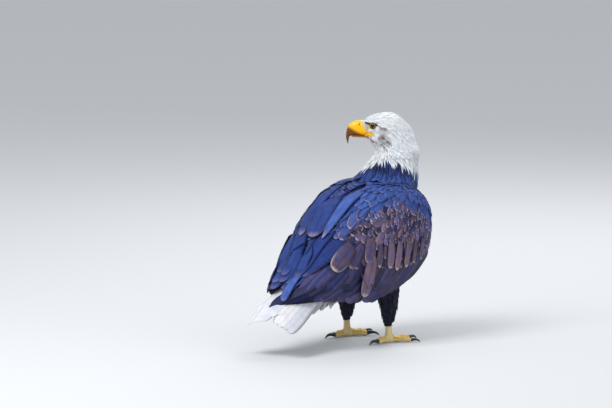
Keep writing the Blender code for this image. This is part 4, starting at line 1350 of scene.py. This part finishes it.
TERTIALS = {  # root, tip, width, height over the wing, tone
    "right": (
        ((-0.052, 0.060, 0.285), (-0.026, 0.212, 0.165), 0.042, 0.0010, 0.3),
        ((-0.070, 0.020, 0.308), (-0.036, 0.190, 0.182), 0.048, 0.0026, 0.2),
        ((-0.082, 0.005, 0.306), (-0.042, 0.156, 0.202), 0.058, 0.0044, 0.1),
        ((-0.020, 0.095, 0.274), (-0.008, 0.200, 0.172), 0.040, 0.0030, 0.15),
        ((-0.042, 0.020, 0.335), (-0.024, 0.165, 0.202), 0.050, 0.0066, 0.15),
        ((-0.026, 0.030, 0.330), (-0.014, 0.184, 0.184), 0.044, 0.0050, 0.3),
        ((-0.030, 0.130, 0.235), (-0.034, 0.224, 0.143), 0.030, 0.0085, 0.95),
    ),
    "left": (
        ((-0.106, 0.010, 0.246), (-0.064, 0.160, 0.160), 0.052, 0.0004, 0.1),
        ((-0.098, 0.008, 0.270), (-0.055, 0.164, 0.174), 0.054, 0.0020, 0.15),
        ((-0.086, 0.005, 0.304), (-0.046, 0.154, 0.203), 0.058, 0.0048, 0.2),
        ((-0.070, 0.020, 0.308), (-0.036, 0.186, 0.182), 0.050, 0.0034, 0.3),
        ((-0.042, 0.020, 0.335), (-0.024, 0.165, 0.202), 0.048, 0.0064, 0.2),
        ((-0.052, 0.060, 0.285), (-0.026, 0.204, 0.168), 0.044, 0.0020, 0.3),
        ((-0.026, 0.030, 0.330), (-0.014, 0.182, 0.184), 0.046, 0.0050, 0.25),
    ),
}
# Each scapular's tone is painted light and shade: the right one light as a painted highlight, the left ones
# dark as painted shade.
SCAPULARS = {  # outline, tone and plan
    "right": (POINTED_VANE, 0.95, (((-0.048, -0.092, 0.430), (-0.043, 0.0755, 0.296), 0.044, 0.0090, 0.0),)),
    "left": (FLIGHT_VANE, 0.20, (
        ((0.048, -0.092, 0.430), (0.043, 0.0755, 0.296), 0.040, 0.0064, 0.0),
        ((0.014, -0.050, 0.418), (-0.004, 0.078, 0.297), 0.078, 0.0090, 0.0),
    )),
}
GREAT_COVERTS = (  # root, tip, width, height, brown, pale, tone; the first is the long one at the back
    ((-0.127, -0.022, 0.262), (-0.114, 0.001, 0.144), 0.040, 0.0080, 1.0, 0.8, 0.75),
    ((-0.108, 0.032, 0.290), (-0.097, 0.101, 0.214), 0.052, 0.0130, 0.9, 0.9, 0.35),
    ((-0.118, 0.004, 0.290), (-0.112, 0.052, 0.224), 0.036, 0.0066, 0.8, 0.5, 0.30),
    ((-0.124, -0.018, 0.305), (-0.126, -0.006, 0.234), 0.038, 0.0070, 0.9, 0.9, 0.50),
    ((-0.129, -0.048, 0.285), (-0.131, -0.040, 0.222), 0.020, 0.0052, 0.8, 1.0, 0.40),
    ((-0.133, -0.085, 0.290), (-0.136, -0.078, 0.214), 0.022, 0.0054, 1.0, 0.9, 0.80),
    ((-0.136, -0.112, 0.290), (-0.138, -0.102, 0.216), 0.023, 0.0062, 1.0, 1.0, 0.90),
    ((-0.138, -0.142, 0.288), (-0.138, -0.136, 0.216), 0.020, 0.0054, 1.0, 0.9, 0.75),
    ((-0.138, -0.168, 0.288), (-0.138, -0.164, 0.220), 0.016, 0.0048, 1.0, 0.8, 0.40),
    ((-0.135, -0.196, 0.288), (-0.134, -0.192, 0.226), 0.016, 0.0042, 0.9, 0.8, 0.50),
)
SECONDARIES, SECONDARY_WIDE = 16, 0.056
LAPPED, LAP = 7, 0.026  # one secondary lies further forward, over the gap ahead of it
PRIMARIES, PRIMARY_WIDE = 9, 0.038
# The long feathers' keratin, indigo-black, with coarser barbs and some brown wear. The indigo is a painted
# reflection of blue sky on black.
night_finish = feather_material(
    "flight_feather_keratin", ("#151b46", "#2a3474"), ("#33283a", "#5e4b58"), "#8c7c90", 0.35, "#0d1024",
    barb_mm=1.3, relief=0.4, roughness=0.5,
)
for side, sign, nearness in (("left", 1, 0.6), ("right", -1, 1.0)):
    mirror = np.array((-sign, 1, 1))
    plan = []
    for k in range(SECONDARIES):
        share = k / (SECONDARIES - 1)
        root = between(SECONDARY_ROOTS, share) * mirror
        tip = between(SECONDARY_TIPS, share - LAP * (k == LAPPED)) * mirror
        width = SECONDARY_WIDE * (1 + 0.03 * random.normal())
        plan.append((root, tip, width, -0.0040 + 0.0026 * share, 0.05 * sign))
    facts = {"brown": random.uniform(0.0, 0.6, SECONDARIES), "pale": 0.2}
    vanes = flight_piece(
        f"wing_{side}_secondary_vanes", plan, FLIGHT_VANE, night_finish, facts, upright=0.85
    )
    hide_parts(f"wing_{side}_secondaries")
    plan = []
    for k in range(PRIMARIES):
        share = k / (PRIMARIES - 1)
        root, tip = between(PRIMARY_ROOTS, share) * mirror, between(PRIMARY_TIPS[side], share) * mirror
        plan.append((root, tip, PRIMARY_WIDE, -0.0040 + 0.0030 * share, 0.06 * sign))
    facts = {"brown": 0.0, "pale": 0.0, "tone": random.uniform(0, 0.3, PRIMARIES)}
    vanes = flight_piece(
        f"wing_{side}_primary_vanes", plan, POINTED_VANE, night_finish, facts, upright=0.7
    )
    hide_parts(f"wing_{side}_primaries")
    plan = [
        (np.array(root) * mirror, np.array(tip) * mirror, *rest, 0.05 * sign)
        for root, tip, *rest, _ in TERTIALS[side]
    ]
    facts = {"brown": 0.0, "pale": 0.12, "tone": [row[4] for row in TERTIALS[side]]}
    flight_piece(
        f"wing_{side}_tertials", plan, FLIGHT_VANE, wing_finish, facts, camber=0.06
    )
    look, tone, plan = SCAPULARS[side]
    facts = {"brown": 0.0, "pale": 0.30, "tone": tone}
    flight_piece(f"{side}_scapulars", plan, look, wing_finish, facts)
    plan = []
    for k, (root, tip, width, height, *_) in enumerate(GREAT_COVERTS):
        root, tip = np.array(root) * mirror, np.array(tip) * mirror
        if k:
            tip = tip + (0, 0, 0.004 * random.normal())
            width = width * random.uniform(0.85, 1.15)
            height = height * nearness
        plan.append((root, tip, width, height, 0.0))
    facts = dict(zip(("brown", "pale", "tone"), np.array([row[4:] for row in GREAT_COVERTS]).T))
    flight_piece(
        f"wing_{side}_great_coverts", plan, FLIGHT_VANE, wing_finish, facts, ring_count=14,
        upright=0.8, climb=(0.02, 0.16),
    )

# ---- Tail --------------------------------------------------------------------------------------
# Twelve broad white rectrices, overlapping like a hand of cards, the middle pair on top.
TAIL_ROOT = Vector((0, 0.0341, 0.203))
TAIL_LONG, TAIL_RAISED, TAIL_ARCH = 0.281, 0.030, 0.024
TAIL_HALF_WIDE, TAIL_FLARE = 0.020, 0.050  # half the width at the root, and what the far end adds to it
TAIL_PITCH = math.radians(26.4)
TAIL_SWING = math.radians(8)
tail_along = Vector((
    -math.sin(TAIL_SWING) * math.cos(TAIL_PITCH), math.cos(TAIL_SWING) * math.cos(TAIL_PITCH),
    -math.sin(TAIL_PITCH),
))
tail_across = Vector((math.cos(TAIL_SWING), math.sin(TAIL_SWING), 0))
tail_up = tail_across.cross(tail_along)
RECTRICES, RECTRIX_WIDE = 12, 0.040
RECTRIX_VANE = dict(base=0.42, widest=0.62, tip=3.2, bluntness=0.20)
NOTCH_DEEP, NOTCH_AT, NOTCH_WIDE = 0.15, 4.3, 0.95  # a few feathers end short: share, place and spread
rectrix_shares = 1 - (1 - np.linspace(0, 1, 22)) ** 1.25


def tail_form(place, run_share):
    """How far aside and how high the tail's surface lies: a low arch, raised on its far half."""
    aside = place * (TAIL_HALF_WIDE + TAIL_FLARE * run_share**0.8)
    arch = TAIL_ARCH * (1 - place**2) * (0.35 + 0.65 * run_share) - 0.006
    raised = 0.5 * (place + 1) * smooth_step(run_share, 0.05, 0.5)
    raised = raised * (1 - 0.75 * smooth_step(run_share, 0.72, 1.0))
    return aside, arch + TAIL_RAISED * raised


centres, normals = [], []
for k in range(RECTRICES):
    place = (2 * k + 1 - RECTRICES) / (RECTRICES - 1)
    notch = NOTCH_DEEP * math.exp(-(((k - NOTCH_AT) / NOTCH_WIDE) ** 2))
    long = TAIL_LONG * (1.010 + 0.015 * place - notch) * (1 + 0.005 * random.normal())
    run = rectrix_shares * long
    aside, height = tail_form(place, run / TAIL_LONG)
    beyond, rise = tail_form(place + 0.05, run / TAIL_LONG)
    slopes = (rise - height) / (beyond - aside)
    height = height + 0.0020 * (1 - abs(place))
    centres.append([
        TAIL_ROOT + tail_along * r + tail_across * a + tail_up * h for r, a, h in zip(run, aside, height)
    ])
    normals.append([tuple((tail_up - tail_across * slope).normalized()) for slope in slopes])
centres = np.array([[tuple(p) for p in line] for line in centres])
# The tail's keratin, a greyer white with coarse barbs.
tail_finish = feather_material(
    "tail_feather_keratin", ("#c3c6cf", "#dad8da"), None, None, 0.20, "#a9aebb", barb_mm=1.3, relief=0.3,
    roughness=0.55,
)
halves = np.tile(RECTRIX_WIDE / 2 * outline_of_vane(rectrix_shares, **RECTRIX_VANE), (RECTRICES, 1))
tail_vanes = vane_mesh(
    "tail_vanes", centres, np.array(normals), halves, 0.0007 * (1 - 0.5 * rectrix_shares), 0.13,
    np.stack([(np.arange(RECTRICES) + 0.5) / RECTRICES, np.full(RECTRICES, 0.5)], axis=1),
    {"tone": random.random(RECTRICES)}, 5, patch=0.020, cell=0.021,
)
tail_vanes.data.materials.append(tail_finish)
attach(tail_vanes, "root")
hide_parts("tail")

# Loose white under-tail feathers hang from the vent below the wings' lower edge.
UNDERTAIL_COUNT, UNDERTAIL_LONG, UNDERTAIL_HALF_WIDE = 130, 0.064, 0.012
UNDERTAIL_RINGS = 9
starts = np.stack([
    random.uniform(-0.048, 0.048, UNDERTAIL_COUNT), random.uniform(-0.066, 0.034, UNDERTAIL_COUNT),
    np.zeros(UNDERTAIL_COUNT),
], axis=1)
hits = [own_tree.ray_cast(Vector(p), Vector((0, 0, 1)), 0.30)[0] for p in starts]
starts = np.array([tuple(h) for h in hits if h])
count = len(starts)
shares = np.linspace(0, 1, UNDERTAIL_RINGS)
runs = shares[None, :, None] * (UNDERTAIL_LONG * random.uniform(0.85, 1.15, count))[:, None, None]
sideways = starts[:, 0] * 3 + 0.10 * random.normal(size=count)
ways = unit(np.stack([sideways, np.full(count, 0.76), -0.68 - 0.12 * random.random(count)], axis=1))
droops = shares[None, :, None] ** 2 * np.array((0, 0.006, -0.006))
centres = starts[:, None] + (0, 0, 0.004) + ways[:, None] * runs + droops
under = unit(np.stack([starts[:, 0] * 6, np.full(count, -0.5), np.full(count, -0.8)], axis=1))
halves = np.tile(UNDERTAIL_HALF_WIDE * outline_of_vane(shares, **ROUND_VANE), (count, 1))
undertail = vane_mesh(
    "undertail_feathers", centres, np.repeat(under[:, None], UNDERTAIL_RINGS, axis=1), halves, 0.0006, 0.15,
    body_unwrap(starts), {"tone": random.random(count), "brown": 0.0},
)
undertail.data.materials.append(white_plumage)
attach(undertail, "root")

# ---- Floor and light ---------------------------------------------------------------------------
# A plain pale floor and soft light from large lamps: one high on the left of the view, one broad and
# weak on the right, and a pale surround.
bpy.ops.object.select_all(action="DESELECT")
bpy.ops.mesh.primitive_plane_add(size=120)
floor = bpy.context.object
floor.name = "floor"
floor_finish, shader = new_material("matt_paint", Roughness=0.9)
shader.inputs["Base Color"].default_value = linear("#c6c8ca")
floor.data.materials.append(floor_finish)

view_right = Vector((math.cos(VIEW_AZIMUTH), math.sin(VIEW_AZIMUTH), 0))
bird_middle = Vector((0, 0, 0.33))  # the lamps' places are to its right, towards the viewer and up
for lamp_name, across, back, up, size, power in (
    ("key", -1.7, 1.5, 2.6, 1.6, 100), ("fill", 2.4, 1.6, 1.2, 2.4, 14), ("rim", 0.8, -2.4, 2.4, 1.6, 40),
):
    where = bird_middle + view_right * across + towards_camera * back + Vector((0, 0, up))
    bpy.ops.object.light_add(type="AREA", location=where)
    lamp = bpy.context.object
    lamp.name = f"{lamp_name}_lamp"
    lamp.data.size = size
    lamp.data.energy = power
    lamp.rotation_euler = (where - bird_middle).to_track_quat("Z", "Y").to_euler()
surround = bpy.data.worlds.new("surround")
surround.use_nodes = True
surround.node_tree.nodes["Background"].inputs["Color"].default_value = linear("#eef1f5")
surround.node_tree.nodes["Background"].inputs["Strength"].default_value = 0.86
bpy.context.scene.world = surround
bpy.context.scene.view_settings.view_transform = "Standard"
